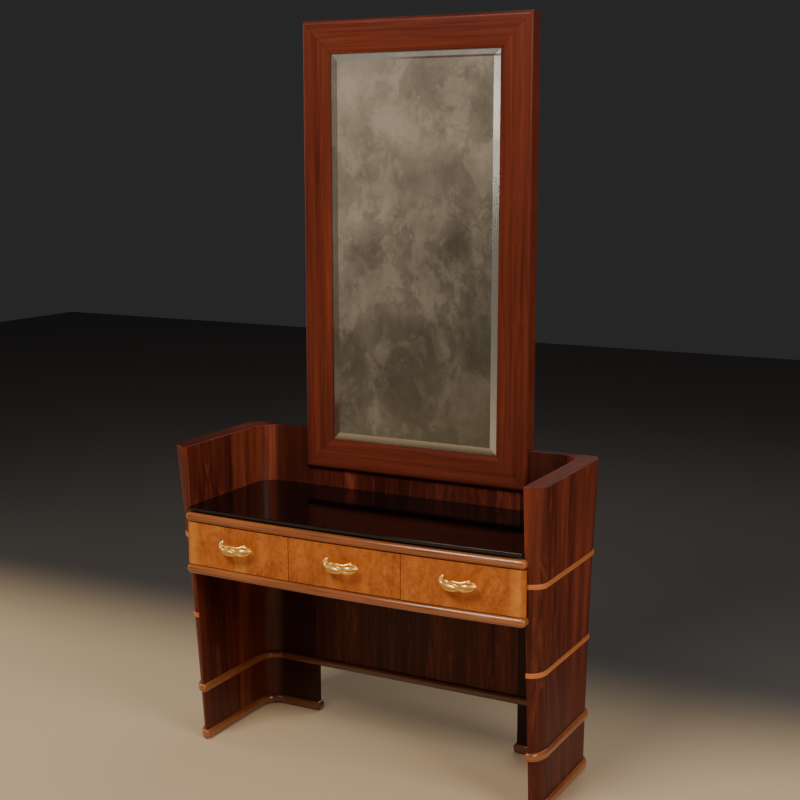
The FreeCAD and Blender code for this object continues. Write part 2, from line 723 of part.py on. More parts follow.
def drawer_handle(name, sign):
    """Cast handle: a twisted ribbon on two tapped posts."""
    shares = [step / RIBBON_STEPS for step in range(RIBBON_STEPS + 1)]
    ribbon = Part.makeLoft([ribbon_section(share) for share in shares], True, False)
    bar = ribbon
    for way in (-1, 1):
        root = V(way * size("post_x"), 0, 0)
        share = (size("post_x") * way / size("handle_half") + 1) / 2
        reach = -ribbon_section(share).BoundBox.Center.y
        post = Part.makeCylinder(size("post_radius"), reach, root, V(0, -1, 0))
        bar = bar.fuse(post)
    for way in (-1, 1):
        root = V(way * size("post_x"), 0, 0)
        bar = bar.cut(Part.makeCylinder(size("screw_radius") + size("screw_play"), size("screw_bite"), root,
                                        V(0, -1, 0)))
    middle = number(handle_x(sign))
    shallow = max(abs(middle) - size("post_x") - size("post_radius"), 0)
    spot = V(middle, bow_y(shallow), number(handle_z()))
    scribed = bar.cut(front_drum(spot))
    return free_shape("%s_handle" % name, max(scribed.Solids, key=lambda piece: piece.Volume), spot=spot)


def front_drum(spot):
    """The bowed drawer front as a block round a handle's spot, to scribe the posts to it."""
    flat = size("moulding_half") - size("moulding_end")
    bow = (flat ** 2 + size("front_bow") ** 2) / (2 * size("front_bow"))
    half, reach = size("handle_half"), size("handle_reach")
    drum = Part.makeCylinder(bow, 2 * half, V(-spot.x, bow_y(0) + bow - spot.y, -half), V(0, 0, 1))
    window = Part.makeBox(2 * half, 2 * reach, 2 * half, V(-half, -reach, -half))
    return drum.common(window)


def screw(name, base, bite):
    """Round-headed screw, its head on the rear of the piece it holds."""
    shank = cylinder(name + "_shank", "dims.screw_radius", bite, base, V(0, -1, 0))
    head = cylinder(name + "_head", "dims.head_radius", "dims.head_tall", base, V(0, 1, 0))
    both = doc.addObject("Part::Fuse", name)
    both.Base = shank
    both.Tool = head
    return both


def handle_screws(name, sign):
    """Two screws from inside the drawer into the handle posts."""
    front = bow_formula("abs(%s) - dims.post_x" % handle_x(sign)) if sign else bow_formula("dims.post_x")
    bite = "-dims.upper_rear - (%s) + dims.screw_bite / 2" % front
    screws = [screw("%s_handle_screw_%d" % (name, index), (spot, "-dims.upper_rear", handle_z()), bite)
              for index, spot in enumerate(handle_screw_spots(sign))]
    return group("%s_handle_screws" % name, screws)


def drawers():
    """The three drawers."""
    for name, sign in DRAWERS.items():
        drawer_front(name, sign)
        drawer_box(name, sign)
        drawer_handle(name, sign)
        handle_screws(name, sign)


# ---------------------------------------------------------------- the mirror

def mirror_screw_spots():
    """Formulas of the X of the screws that hold the mirror to the back."""
    return ["%g * dims.mirror_screw_x" % share for share in (-1, -0.34, 0.34, 1)]


FRONT = "(dims.back_face - dims.frame_lip)"


def member_corners(outer, inner, sign, deep):
    """Section of a frame member from its outer edge to its sight edge."""
    rear = "(%s + %s)" % (FRONT, deep)
    way = "-" if sign > 0 else "+"
    back_way = "+" if sign > 0 else "-"
    glass = "(%s + dims.rebate_deep)" % FRONT
    return [
        (outer, rear, None),
        (outer, FRONT + " + dims.frame_round", ("dims.frame_round", -sign)),
        ("%s %s dims.frame_round" % (outer, way), FRONT, None),
        ("%s %s dims.sight_bevel" % (inner, back_way), FRONT, None),
        (inner, FRONT + " + dims.sight_drop", None),
        (inner, glass, None),
        ("%s %s dims.rebate" % (inner, back_way), glass, None),
        ("%s %s dims.rebate" % (inner, back_way), rear, None),
    ]


def mitre(body, name, corners):
    """Cut one mitre off a frame member with a triangle seen from the front."""
    return pocket_through(body, outline(body, name, "XZ_Plane", corners))


def stile(sign):
    """Upright of the mirror frame, mitred at both ends and notched over the gallery."""
    body = new_body("%s_frame_stile" % side_name(sign))
    outer = "%d * dims.mirror_half" % sign
    inner = "%d * (dims.mirror_half - dims.member)" % sign
    far = "%d * (dims.mirror_half - 2 * dims.member)" % sign
    corners = member_corners(outer, inner, sign, "dims.frame_deep")
    sketch = outline(body, "stile_section_" + side_name(sign), "XY_Plane", corners, "dims.mirror_foot")
    pad(body, sketch, "dims.mirror_top - dims.mirror_foot")
    for where, end, way in (("top", "dims.mirror_top", "-"), ("foot", "dims.mirror_foot", "+")):
        mitre(body, "stile_%s_mitre_%s" % (where, side_name(sign)), [
            (outer, end, None),
            (far, "%s %s 2 * dims.member" % (end, way), None),
            (far, "%s %s 2 * dims.member" % (end, "+" if way == "-" else "-"), None),
            (outer, "%s %s 2 * dims.member" % (end, "+" if way == "-" else "-"), None),
        ])
    notch = outline(body, "stile_notch_" + side_name(sign), "YZ_Plane", [
        ("dims.back_face", "dims.mirror_foot - dims.member", None),
        ("dims.back_face + dims.member", "dims.mirror_foot - dims.member", None),
        ("dims.back_face + dims.member", "dims.gallery_z + dims.rest_gap", None),
        ("dims.back_face", "dims.gallery_z + dims.rest_gap", None),
    ])
    pocket_through(body, notch)
    return body


def rail(where):
    """Top or bottom member of the mirror frame, mitred at both ends."""
    top = where == "top"
    body = new_body("frame_%s_rail" % where)
    outer = "dims.mirror_top" if top else "dims.mirror_foot"
    way, other = ("-", "+") if top else ("+", "-")
    inner = "(%s %s dims.member)" % (outer, way)
    deep = "dims.frame_deep" if top else "dims.frame_lip"
    section = member_corners(outer, inner, 1 if top else -1, deep)
    corners = [(along, across, None if bend is None else (bend[0], -bend[1]))
               for across, along, bend in section]
    sketch = outline(body, "rail_section_" + where, "YZ_Plane", corners)
    pad(body, sketch, "2 * dims.mirror_half", both=True)
    for sign in (-1, 1):
        edge = "%d * dims.mirror_half" % sign
        near = "%d * (dims.mirror_half - 2 * dims.member)" % sign
        past = "%d * (dims.mirror_half + dims.member)" % sign
        mitre(body, "rail_%s_mitre_%s" % (where, side_name(sign)), [
            (edge, outer, None),
            (near, "%s %s 2 * dims.member" % (outer, way), None),
            (past, "%s %s 2 * dims.member" % (outer, way), None),
            (past, outer, None),
        ])
    if top:
        return body
    cutters = [cylinder("rail_hole_%d" % index, "dims.screw_radius + dims.screw_play", "dims.screw_bite",
                        (spot, "dims.back_face", "dims.mirror_screw_z"), V(0, -1, 0))
               for index, spot in enumerate(mirror_screw_spots())]
    return cut_holes("frame_bottom_rail", body, cutters)


def mirror_glass():
    """Mirror plate with a wide bevel round its front face."""
    half = size("mirror_half") - size("member") + size("rebate") - size("glass_play")
    low = size("mirror_foot") + size("member") - size("rebate") + size("glass_play")
    high = size("mirror_top") - size("member") + size("rebate") - size("glass_play")
    front = size("back_face") - size("frame_lip") + size("rebate_deep")
    step = size("mirror_bevel") + size("rebate") - size("glass_play")

    def loop(inset, depth):
        points = [V(-half + inset, depth, low + inset), V(half - inset, depth, low + inset),
                  V(half - inset, depth, high - inset), V(-half + inset, depth, high - inset)]
        return Part.makePolygon(points + [points[0]])

    rear = front + size("mirror_thick")
    plate = Part.makeLoft([loop(0, rear), loop(0, front + size("bevel_drop"))], True, True)
    face = Part.makeLoft([loop(0, front + size("bevel_drop")), loop(step, front)], True, True)
    return free_shape("mirror_glass", plate.fuse(face).removeSplitter())


def mirror_back():
    """Backing board behind the mirror plate and two battens that hold it in the frame."""
    half = "(dims.mirror_half - dims.member + dims.rebate - dims.glass_play)"
    low = "(dims.mirror_foot + dims.member - dims.rebate + dims.glass_play)"
    high = "(dims.mirror_top - dims.member + dims.rebate - dims.glass_play)"
    front = "(%s + dims.rebate_deep + dims.mirror_thick)" % FRONT
    board("backing_board", ("-" + half, front, low), ("2 * " + half, "dims.backing", "%s - %s" % (high, low)))
    for name, level in (("lower", "dims.gallery_z + 2 * dims.batten_tall"),
                        ("upper", high + " - 2 * dims.batten_tall")):
        board(name + "_mirror_batten", ("-" + half + " - dims.glass_play", front + " + dims.backing", level),
              ("2 * (%s + dims.glass_play)" % half, "dims.batten_deep", "dims.batten_tall"))


def mirror_screws():
    """Screws through the back into the bottom rail of the frame."""
    rear = "dims.back_face + dims.back_wall"
    screws = [screw("mirror_screw_%d" % index, (spot, rear, "dims.mirror_screw_z"),
                    "dims.back_wall + dims.screw_bite * 0.8")
              for index, spot in enumerate(mirror_screw_spots())]
    return group("mirror_screws", screws)


def mirror():
    """The framed mirror that stands on the gallery."""
    for sign in (-1, 1):
        stile(sign)
    rail("top")
    rail("bottom")
    mirror_glass()
    mirror_back()
    mirror_screws()


# ---------------------------------------------------------------- build and export

def carcass():
    """Shell, bands, mouldings, top and drawer case."""
    for sign in (-1, 1):
        end_panel(sign)
        inlaid_band(sign, "upper")
        inlaid_band(sign, "lower")
        foot_band(sign)
        base_moulding(sign)
    back_panel()
    back_rail_moulding()
    top_board()
    glass_top()
    moulding("top_front_moulding", "dims.upper_moulding_z", "dims.upper_rear")
    moulding("bottom_front_moulding", "dims.lower_moulding_z", "dims.lower_rear")
    case()


def check_and_export():
    """Stop at anything that failed, then write one STEP file for each sub-part."""
    doc.recompute()
    for thing in doc.Objects:
        if "Invalid" in thing.State or "Error" in thing.State:
            raise RuntimeError("%s failed" % thing.Label)
    os.makedirs("parts", exist_ok=True)
    for part in PARTS:
        shape = part.Shape
        if shape.isNull() or not shape.isValid() or not shape.Solids:
            raise RuntimeError("%s has no valid solid" % part.Label)
        shape.exportStep("parts/%s.step" % part.Label)
        print(part.Label, len(shape.Solids), round(shape.Volume))


fill_sheet()
carcass()
drawers()
mirror()
check_and_export()
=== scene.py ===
import logging
import math
from dataclasses import dataclass, field
from enum import Enum
from typing import Sequence

import bmesh
import bpy
from mathutils import Matrix, Vector


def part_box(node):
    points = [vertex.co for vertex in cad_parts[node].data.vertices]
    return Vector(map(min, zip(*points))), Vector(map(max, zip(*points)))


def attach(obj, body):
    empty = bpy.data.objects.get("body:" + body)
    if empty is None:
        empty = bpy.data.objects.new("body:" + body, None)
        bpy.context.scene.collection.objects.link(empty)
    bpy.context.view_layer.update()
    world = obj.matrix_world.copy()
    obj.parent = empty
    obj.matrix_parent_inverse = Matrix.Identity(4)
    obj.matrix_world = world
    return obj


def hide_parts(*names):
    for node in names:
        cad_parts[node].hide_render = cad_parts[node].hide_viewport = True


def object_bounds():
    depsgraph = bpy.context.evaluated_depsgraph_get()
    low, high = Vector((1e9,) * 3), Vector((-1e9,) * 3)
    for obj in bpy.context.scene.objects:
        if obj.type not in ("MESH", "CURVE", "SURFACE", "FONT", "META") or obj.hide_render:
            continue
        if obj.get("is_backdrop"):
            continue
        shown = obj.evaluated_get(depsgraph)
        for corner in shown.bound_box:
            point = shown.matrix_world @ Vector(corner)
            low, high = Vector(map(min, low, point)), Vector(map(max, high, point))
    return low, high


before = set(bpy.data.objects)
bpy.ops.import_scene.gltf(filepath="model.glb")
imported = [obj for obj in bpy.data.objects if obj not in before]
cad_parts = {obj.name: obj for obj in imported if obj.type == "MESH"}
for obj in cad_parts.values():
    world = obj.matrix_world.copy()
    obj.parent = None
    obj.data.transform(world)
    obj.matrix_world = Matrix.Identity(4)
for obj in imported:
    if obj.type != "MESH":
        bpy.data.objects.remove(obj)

LOG = logging.getLogger("vanity_table")
Colour = tuple[float, float, float]
Paint = Colour | bpy.types.NodeSocket
Loop = list[Vector]
Stands = list[tuple[Vector, Vector]]

CARCASS = "carcass"
GRAIN_UV = "grain"
SIDES = {-1: "left", 0: "middle", 1: "right"}
CRISP = 32.0              # degrees: a sharper edge than this stays crisp
CRISP_MOULDING = 50.0     # the same on a moulding
SCREW_RADIUS = 0.0045
SCREW_SINK = 0.0026       # from a head's tip to its seat
REARWARD = Vector((0, 1, 0))
FORWARD = Vector((0, -1, 0))
OUTWARD = Vector((1, 0, 0))
UP = Vector((0, 0, 1))


# ------------------------------------------------------------------ shader maths

class Value:
    """A number on its way through a shader; an expression on it adds Math nodes."""

    def __init__(self, maker: "NodeMaker", socket: bpy.types.NodeSocket) -> None:
        """Wrap a socket."""
        self.maker = maker
        self.socket = socket

    def math(self, operation: str, *others: "Value | float") -> "Value":
        """Add one Math node.

        Args:
            operation: The Math node's operation.
            others: The second and third operands, where it has them.

        Returns:
            The node's result.
        """
        inputs: dict = {0: self}
        inputs.update({place: other for place, other in enumerate(others, start=1)})
        return self.maker.value(self.maker.add("ShaderNodeMath", {"operation": operation}, inputs))

    def __add__(self, other: "Value | float") -> "Value":
        """Sum."""
        return self.math("ADD", other)

    __radd__ = __add__

    def __mul__(self, other: "Value | float") -> "Value":
        """Product."""
        return self.math("MULTIPLY", other)

    __rmul__ = __mul__

    def __sub__(self, other: "Value | float") -> "Value":
        """Difference."""
        return self.math("SUBTRACT", other)

    def __rsub__(self, other: "Value | float") -> "Value":
        """Difference from a number."""
        return (self * -1.0) + other

    def __truediv__(self, other: "Value | float") -> "Value":
        """Quotient."""
        return self.math("DIVIDE", other)

    def floor(self) -> "Value":
        """Whole part."""
        return self.math("FLOOR")

    def size(self) -> "Value":
        """Size without its sign."""
        return self.math("ABSOLUTE")

    def fold(self, width: float) -> "Value":
        """Back and forth between 0 and a width, as book-matched leaves lie."""
        return self.math("PINGPONG", width)

    def below(self, other: "Value | float") -> "Value":
        """The smaller of two."""
        return self.math("MINIMUM", other)

    def between(self, low: float, high: float) -> "Value":
        """Smooth step.

        Args:
            low: Where it is 0.
            high: Where it reaches 1.

        Returns:
            The step.
        """
        settings = {"interpolation_type": "SMOOTHSTEP"}
        inputs = {"Value": self, "From Min": low, "From Max": high}
        return self.maker.value(self.maker.add("ShaderNodeMapRange", settings, inputs))


class NodeMaker:
    """Adds nodes to one material."""

    def __init__(self, name: str) -> None:
        """Start a material with no nodes.

        Args:
            name: The material's name.
        """
        self.material = bpy.data.materials.new(name)
        self.material.use_nodes = True
        self.tree = self.material.node_tree
        self.tree.nodes.clear()

    def add(self, kind: str, settings: dict | None = None, inputs: dict | None = None) -> bpy.types.Node:
        """Add any node.

        Args:
            kind: The node's type.
            settings: Its own settings, set first; "ramp" gives a colour ramp's stops.
            inputs: Values, colours or links for its sockets, by name or place.

        Returns:
            The node.
        """
        node = self.tree.nodes.new(kind)
        for key, setting in (settings or {}).items():
            if key == "ramp":
                self._set_ramp(node, setting)
            else:
                setattr(node, key, setting)
        for key, given in (inputs or {}).items():
            socket = node.inputs[key]
            if isinstance(given, Value):
                self.tree.links.new(given.socket, socket)
            elif isinstance(given, bpy.types.NodeSocket):
                self.tree.links.new(given, socket)
            else:
                socket.default_value = given
        return node

    @staticmethod
    def _set_ramp(node: bpy.types.Node, stops: Sequence[tuple[float, Colour]]) -> None:
        """Set a colour ramp's stops.

        Args:
            node: The ramp.
            stops: Places from 0 to 1, each with its colour.
        """
        ramp = node.color_ramp
        while len(ramp.elements) < len(stops):
            ramp.elements.new(1.0)
        for element, (place, colour) in zip(ramp.elements, stops):
            element.position = place
            element.color = (*colour, 1.0)

    def value(self, node: bpy.types.Node, output: str | int = 0) -> Value:
        """Wrap a node's output."""
        return Value(self, node.outputs[output])

    def vector(self, across: Value | float, depth: Value | float,
               along: Value | float) -> bpy.types.NodeSocket:
        """Join three numbers to a vector."""
        return self.add("ShaderNodeCombineXYZ", {}, {0: across, 1: depth, 2: along}).outputs[0]

    def streaks(self, vector: bpy.types.NodeSocket, scale: tuple[float, float, float],
                detail: float = 4.0, roughness: float = 0.5, distortion: float = 0.0) -> Value:
        """Smooth noise that is stretched along an axis.

        Args:
            vector: Where it is read.
            scale: How fine it is along each axis, per metre.
            detail: How many finer layers it has.
            roughness: How strong the finer layers are.
            distortion: How far it is bent.

        Returns:
            The noise, about 0.5.
        """
        stretched = self.add("ShaderNodeVectorMath", {"operation": "MULTIPLY"}, {0: vector, 1: scale})
        return self.noise(stretched.outputs[0], 1.0, detail, roughness, distortion)

    def noise(self, vector: bpy.types.NodeSocket, scale: float, detail: float = 4.0,
              roughness: float = 0.5, distortion: float = 0.0) -> Value:
        """Smooth noise.

        Args:
            vector: Where it is read.
            scale: How fine it is, per metre.
            detail: How many finer layers it has.
            roughness: How strong the finer layers are.
            distortion: How far it is bent.

        Returns:
            The noise, about 0.5.
        """
        node = self.add("ShaderNodeTexNoise", {}, {
            "Vector": vector, "Scale": scale, "Detail": detail, "Roughness": roughness,
            "Distortion": distortion})
        return self.value(node, "Fac")

    def ramp(self, factor: Value, stops: Sequence[tuple[float, Colour]]) -> bpy.types.NodeSocket:
        """Colour a number."""
        return self.add("ShaderNodeValToRGB", {"ramp": stops}, {"Fac": factor}).outputs[0]

    def blend(self, factor: Value | float, first: Paint, second: Paint) -> bpy.types.NodeSocket:
        """Mix two colours.

        Args:
            factor: Share of the second, from 0 to 1.
            first: A colour or a colour socket.
            second: Another.

        Returns:
            The mixed colour.
        """
        inputs: dict = {0: factor}
        for number, paint in ((6, first), (7, second)):
            inputs[number] = (*paint, 1.0) if isinstance(paint, tuple) else paint
        return self.add("ShaderNodeMix", {"data_type": "RGBA"}, inputs).outputs[2]

    def place(self) -> bpy.types.NodeSocket:
        """Place on the table, in metres."""
        return self.add("ShaderNodeTexCoord").outputs["Object"]

    def parts(self, vector: bpy.types.NodeSocket) -> tuple[Value, Value, Value]:
        """Split a vector into its three numbers."""
        split = self.add("ShaderNodeSeparateXYZ", {}, {0: vector})
        return self.value(split, 0), self.value(split, 1), self.value(split, 2)

    def bump(self, height: Value, strength: float, distance: float) -> bpy.types.NodeSocket:
        """Turn a height into a normal."""
        return self.add("ShaderNodeBump", {}, {
            "Strength": strength, "Distance": distance, "Height": height}).outputs[0]

    def surface(self, inputs: dict) -> bpy.types.NodeSocket:
        """Add the main surface shader."""
        return self.add("ShaderNodeBsdfPrincipled", {}, inputs).outputs[0]

    def finish(self, shader: bpy.types.NodeSocket) -> bpy.types.Material:
        """Join the shader to the material's output."""
        self.add("ShaderNodeOutputMaterial", {}, {"Surface": shader})
        return self.material


def knee_painted_shade(maker: NodeMaker) -> Value:
    """Find the inner faces below the case, where painted shade darkens the colour.

    Args:
        maker: The material's node maker.

    Returns:
        1 in the knee space, 0 elsewhere.
    """
    side, depth, level = maker.parts(maker.place())
    inside = 1.0 - side.size().between(0.500, 0.546)
    return inside * depth.between(-0.172, -0.110) * (1.0 - level.between(0.50, 0.57))


class Grain(Enum):
    """Where a wood's grain comes from."""

    UV = "uv"
    ALONG_X = "x"
    ALONG_Y = "y"
    ALONG_Z = "z"


def grain_axes(maker: NodeMaker, grain: Grain) -> tuple[Value, Value, Value]:
    """Find the place on a piece, in metres, by its grain.

    Args:
        maker: The material's node maker.
        grain: Where the grain comes from.

    Returns:
        The distances across, through and along the grain.
    """
    mapped = grain is Grain.UV
    source = maker.add("ShaderNodeUVMap", {"uv_map": GRAIN_UV}).outputs[0] if mapped else maker.place()
    one, two, three = maker.parts(source)
    if grain is Grain.ALONG_X:
        return two, three, one
    if grain is Grain.ALONG_Z:
        return one, two, three
    return one, three, two


# ------------------------------------------------------------------ finishes

ROSEWOOD_TONES = (
    (0.26, (0.030, 0.0054, 0.0030)), (0.42, (0.085, 0.0155, 0.0082)), (0.52, (0.150, 0.0290, 0.0140)),
    (0.62, (0.225, 0.0460, 0.0210)), (0.78, (0.36, 0.090, 0.038)))
ROSEWOOD_FLARE = (0.30, 0.060, 0.026)
ROSEWOOD_INK = (0.020, 0.0036, 0.0016)
ROSEWOOD_PORE = (0.016, 0.0036, 0.0016)
ROSEWOOD_BACK = (0.022, 0.0046, 0.0030)
# Painted shade on the lower part of the panels.
ROSEWOOD_LOW_PAINTED_SHADE = (0.026, 0.0060, 0.0040)
# Painted shade in the knee space below the case.
ROSEWOOD_KNEE_PAINTED_SHADE = (0.018, 0.0044, 0.0030)
BURL_TONES = (
    (0.34, (0.24, 0.052, 0.0100)), (0.44, (0.38, 0.093, 0.0165)), (0.53, (0.52, 0.142, 0.0240)),
    (0.63, (0.64, 0.200, 0.0350)), (0.78, (0.80, 0.31, 0.065)))
BURL_KNOT = (0.17, 0.038, 0.0070)
# Painted sheen on the burl.
BURL_PAINTED_SHEEN = (0.84, 0.355, 0.062)
GLASS_BLACK = (0.0016, 0.0016, 0.0020)
GLASS_DUST = (0.09, 0.085, 0.08)
SILVER_WORN = (0.20, 0.19, 0.155)
SILVER_CLEAR = (0.46, 0.435, 0.38)
SILVER_RIM = (0.17, 0.16, 0.13)
SILVER_SPOT = (0.12, 0.10, 0.075)
# Painted glint on the bevel.
SILVER_BEVEL_PAINTED_GLINT = (0.70, 0.69, 0.63)
# Painted reflection line under the top bevel.
SILVER_PAINTED_REFLECTION_LINE = (0.22, 0.03, 0.03)
# Matte film of clouding whose tones also stand in for the glass's reflection: painted reflection.
FILM_PAINTED_REFLECTION_DARK = (0.115, 0.098, 0.066)
FILM_PAINTED_REFLECTION_PALE = (0.47, 0.405, 0.315)
# Painted shade on the floor far behind the table.
FLOOR_PAINTED_SHADE = (0.060, 0.058, 0.057)


@dataclass(frozen=True)
class Rosewood:
    """Dark rosewood veneer in book-matched leaves under a polished film."""

    name: str
    grain: Grain = Grain.UV
    leaf: float = 0.118
    warmth: float = 0.0
    seed: float = 0.0
    leaf_contrast: float = 0.16
    ink: float = 0.55
    flare: float = 0.40
    contrast: float = 1.0
    film: float = 0.05
    dark_from: float | None = None
    dark_inside: float = 0.54

    def build(self) -> bpy.types.Material:
        """Make the material.

        Returns:
            The finished material.
        """
        maker = NodeMaker(self.name)
        across, depth, along = grain_axes(maker, self.grain)
        across = across + self.seed
        wander = maker.streaks(maker.vector(across, depth, along), (0.0, 0.0, 2.2), 2.0)
        across = across + wander * 0.006
        leaf_no = (across / self.leaf).floor()
        tone = maker.value(maker.add("ShaderNodeTexWhiteNoise", {"noise_dimensions": "1D"},
                                     {"W": (leaf_no * 0.5).floor() * 3.7 + self.seed}))
        folded = across.fold(self.leaf)
        place = maker.vector(folded + tone * 3.1, depth, along + tone * 2.0)
        broad = maker.streaks(place, (13.0, 13.0, 0.8), 3.0, 0.5, 0.3)
        flame = maker.streaks(place, (52.0, 52.0, 1.9), 6.0, 0.6, 0.9)
        streak = maker.streaks(place, (260.0, 260.0, 3.6), 4.0, 0.6)
        pores = maker.streaks(place, (1500.0, 1500.0, 26.0), 2.0, 0.5).between(0.60, 0.74)
        ink = maker.streaks(place, (38.0, 38.0, 0.9), 5.0, 0.66, 1.2).between(0.56, 0.72)
        figure = broad * 0.42 + flame * 0.40 + streak * 0.18 - 0.5
        shade = figure * self.contrast + (tone - 0.5) * self.leaf_contrast + (self.warmth + 0.5)
        colour = maker.ramp(shade, ROSEWOOD_TONES)
        flare = maker.streaks(place, (24.0, 24.0, 4.2), 5.0, 0.62, 1.4).between(0.54, 0.66)
        colour = maker.blend(flare * self.flare, colour, ROSEWOOD_FLARE)
        colour = maker.blend(ink * self.ink, colour, ROSEWOOD_INK)
        # Darker on the inner face of the back; painted shade on the lower part of the panels and in the
        # knee space.
        if self.dark_from is not None:
            lower = 1.0 - along.between(0.10, 0.80)
            for mask, tint in (
                    (self.back_mask(maker) * 0.75, ROSEWOOD_BACK), (lower * 0.42, ROSEWOOD_LOW_PAINTED_SHADE),
                    (knee_painted_shade(maker) * 0.45, ROSEWOOD_KNEE_PAINTED_SHADE)):
                colour = maker.blend(mask, colour, tint)
        colour = maker.blend(pores * 0.4, colour, ROSEWOOD_PORE)
        haze = maker.noise(maker.vector(across, depth, along), 7.0, 4.0, 0.6)
        relief = maker.bump(pores * -1.0 + streak * 0.25, 0.10, 0.0003)
        return maker.finish(maker.surface({
            "Base Color": colour, "Roughness": haze * 0.14 + 0.33 + pores * 0.12, "Normal": relief,
            "IOR": 1.20, "Coat Weight": self.film + haze * 0.22, "Coat Roughness": 0.2,
            "Coat IOR": 1.5}))

    def back_mask(self, maker: NodeMaker) -> Value:
        """Find the inner face of the back, which is made darker.

        Args:
            maker: The material's node maker.

        Returns:
            1 on the back, 0 elsewhere.
        """
        side, depth, _ = maker.parts(maker.place())
        behind = depth.between(self.dark_from - 0.008, self.dark_from - 0.001)
        return behind * (1.0 - side.size().between(self.dark_inside - 0.006, self.dark_inside))


@dataclass(frozen=True)
class Burl:
    """Honey-coloured burl veneer with clouds, eyes and a soft ripple, and painted sheen at the side
    drawers' outer ends and below the left handle.
    """

    name: str
    seed: float = 0.0

    def build(self) -> bpy.types.Material:
        """Make the material.

        Returns:
            The finished material.
        """
        maker = NodeMaker(self.name)
        across, depth, along = grain_axes(maker, Grain.ALONG_Z)
        place = maker.vector(across + self.seed, depth, along + self.seed)
        swirl = maker.noise(place, 11.0, 6.0, 0.62, 1.6)
        fine = maker.noise(place, 62.0, 5.0, 0.65, 1.1)
        ripple = maker.streaks(place, (34.0, 20.0, 6.0), 3.0, 0.5, 0.6)
        cells = maker.add("ShaderNodeTexVoronoi", {"feature": "F1"}, {
            "Vector": place, "Scale": 95.0, "Randomness": 1.0})
        knots = (1.0 - maker.value(cells, "Distance").between(0.05, 0.34)) * fine.between(0.50, 0.60)
        curl = maker.streaks(place, (46.0, 46.0, 25.0), 3.0, 0.55, 2.6)
        shade = swirl * 0.36 + fine * 0.22 + ripple * 0.20 + curl * 0.24
        colour = maker.ramp(shade, BURL_TONES)
        colour = maker.blend(knots * 0.30, colour, BURL_KNOT)
        side = across.size()
        # Painted highlight near the rounded outer ends of the side drawers, and painted sheen on a patch
        # below the left handle.
        painted_end_highlight = side.between(0.490, 0.522) * (1.0 - side.between(0.528, 0.542)) * (swirl * 0.8 + 0.2)
        patch = across.between(-0.371, -0.3695) * (1.0 - across.between(-0.348, -0.315))
        patch = patch * (1.0 - along.between(0.610, 0.640))
        colour = maker.blend((painted_end_highlight + patch * 0.7) * 0.6, colour, BURL_PAINTED_SHEEN)
        relief = maker.bump(fine, 0.05, 0.0003)
        return maker.finish(maker.surface({
            "Base Color": colour, "Roughness": 0.28 + fine * 0.14, "Normal": relief,
            "IOR": 1.25, "Coat Weight": 0.18 + swirl * 0.3, "Coat Roughness": 0.12, "Coat IOR": 1.5}))


@dataclass(frozen=True)
class PolishedWood:
    """Solid wood with straight grain, from a dark and a light colour."""

    name: str
    dark: Colour
    light: Colour
    grain: Grain = Grain.UV
    gloss: float = 0.4
    rough: float = 0.26
    painted_knee_shade: bool = False

    def build(self) -> bpy.types.Material:
        """Make the material.

        Returns:
            The finished material.
        """
        maker = NodeMaker(self.name)
        across, depth, along = grain_axes(maker, self.grain)
        place = maker.vector(across, depth, along)
        wide = maker.streaks(place, (40.0, 40.0, 2.2), 5.0, 0.6, 0.4)
        thin = maker.streaks(place, (420.0, 420.0, 7.0), 4.0, 0.6)
        pores = maker.streaks(place, (1700.0, 1700.0, 34.0), 2.0, 0.5).between(0.60, 0.75)
        shade = (wide * 0.62 + thin * 0.38).between(0.30, 0.68)
        colour = maker.blend(shade, self.dark, self.light)
        deep = tuple(channel * 0.35 for channel in self.dark)
        # Painted shade: darker on the inner faces below the case.
        if self.painted_knee_shade:
            colour = maker.blend(knee_painted_shade(maker) * 0.65, colour, tuple(c * 0.4 for c in self.dark))
        colour = maker.blend(pores * 0.45, colour, deep)
        relief = maker.bump(thin * 0.4 - pores, 0.10, 0.0004)
        return maker.finish(maker.surface({
            "Base Color": colour, "Roughness": self.rough + wide * 0.14 + pores * 0.12, "Normal": relief,
            "IOR": 1.3, "Coat Weight": wide * 0.2 + self.gloss, "Coat Roughness": 0.10,
            "Coat IOR": 1.55}))


@dataclass(frozen=True)
class BlackGlass:
    """Polished black glass with faint wipe marks and fine scratches."""

    name: str

    def build(self) -> bpy.types.Material:
        """Make the material.

        Returns:
            The finished material.
        """
        maker = NodeMaker(self.name)
        across, depth, along = grain_axes(maker, Grain.ALONG_X)
        place = maker.vector(across, depth, along)
        wipe = maker.streaks(place, (9.0, 9.0, 2.5), 5.0, 0.6, 0.8)
        scratch = maker.streaks(place, (700.0, 700.0, 5.0), 2.0, 0.5, 0.6).between(0.66, 0.74)
        dust = maker.noise(place, 900.0, 1.0).between(0.70, 0.80)
        colour = maker.blend(dust * 0.10 + scratch * 0.04, GLASS_BLACK, GLASS_DUST)
        return maker.finish(maker.surface({
            "Base Color": colour, "Roughness": 0.035 + wipe * 0.05 + scratch * 0.10 + dust * 0.1,
            "IOR": 1.52}))


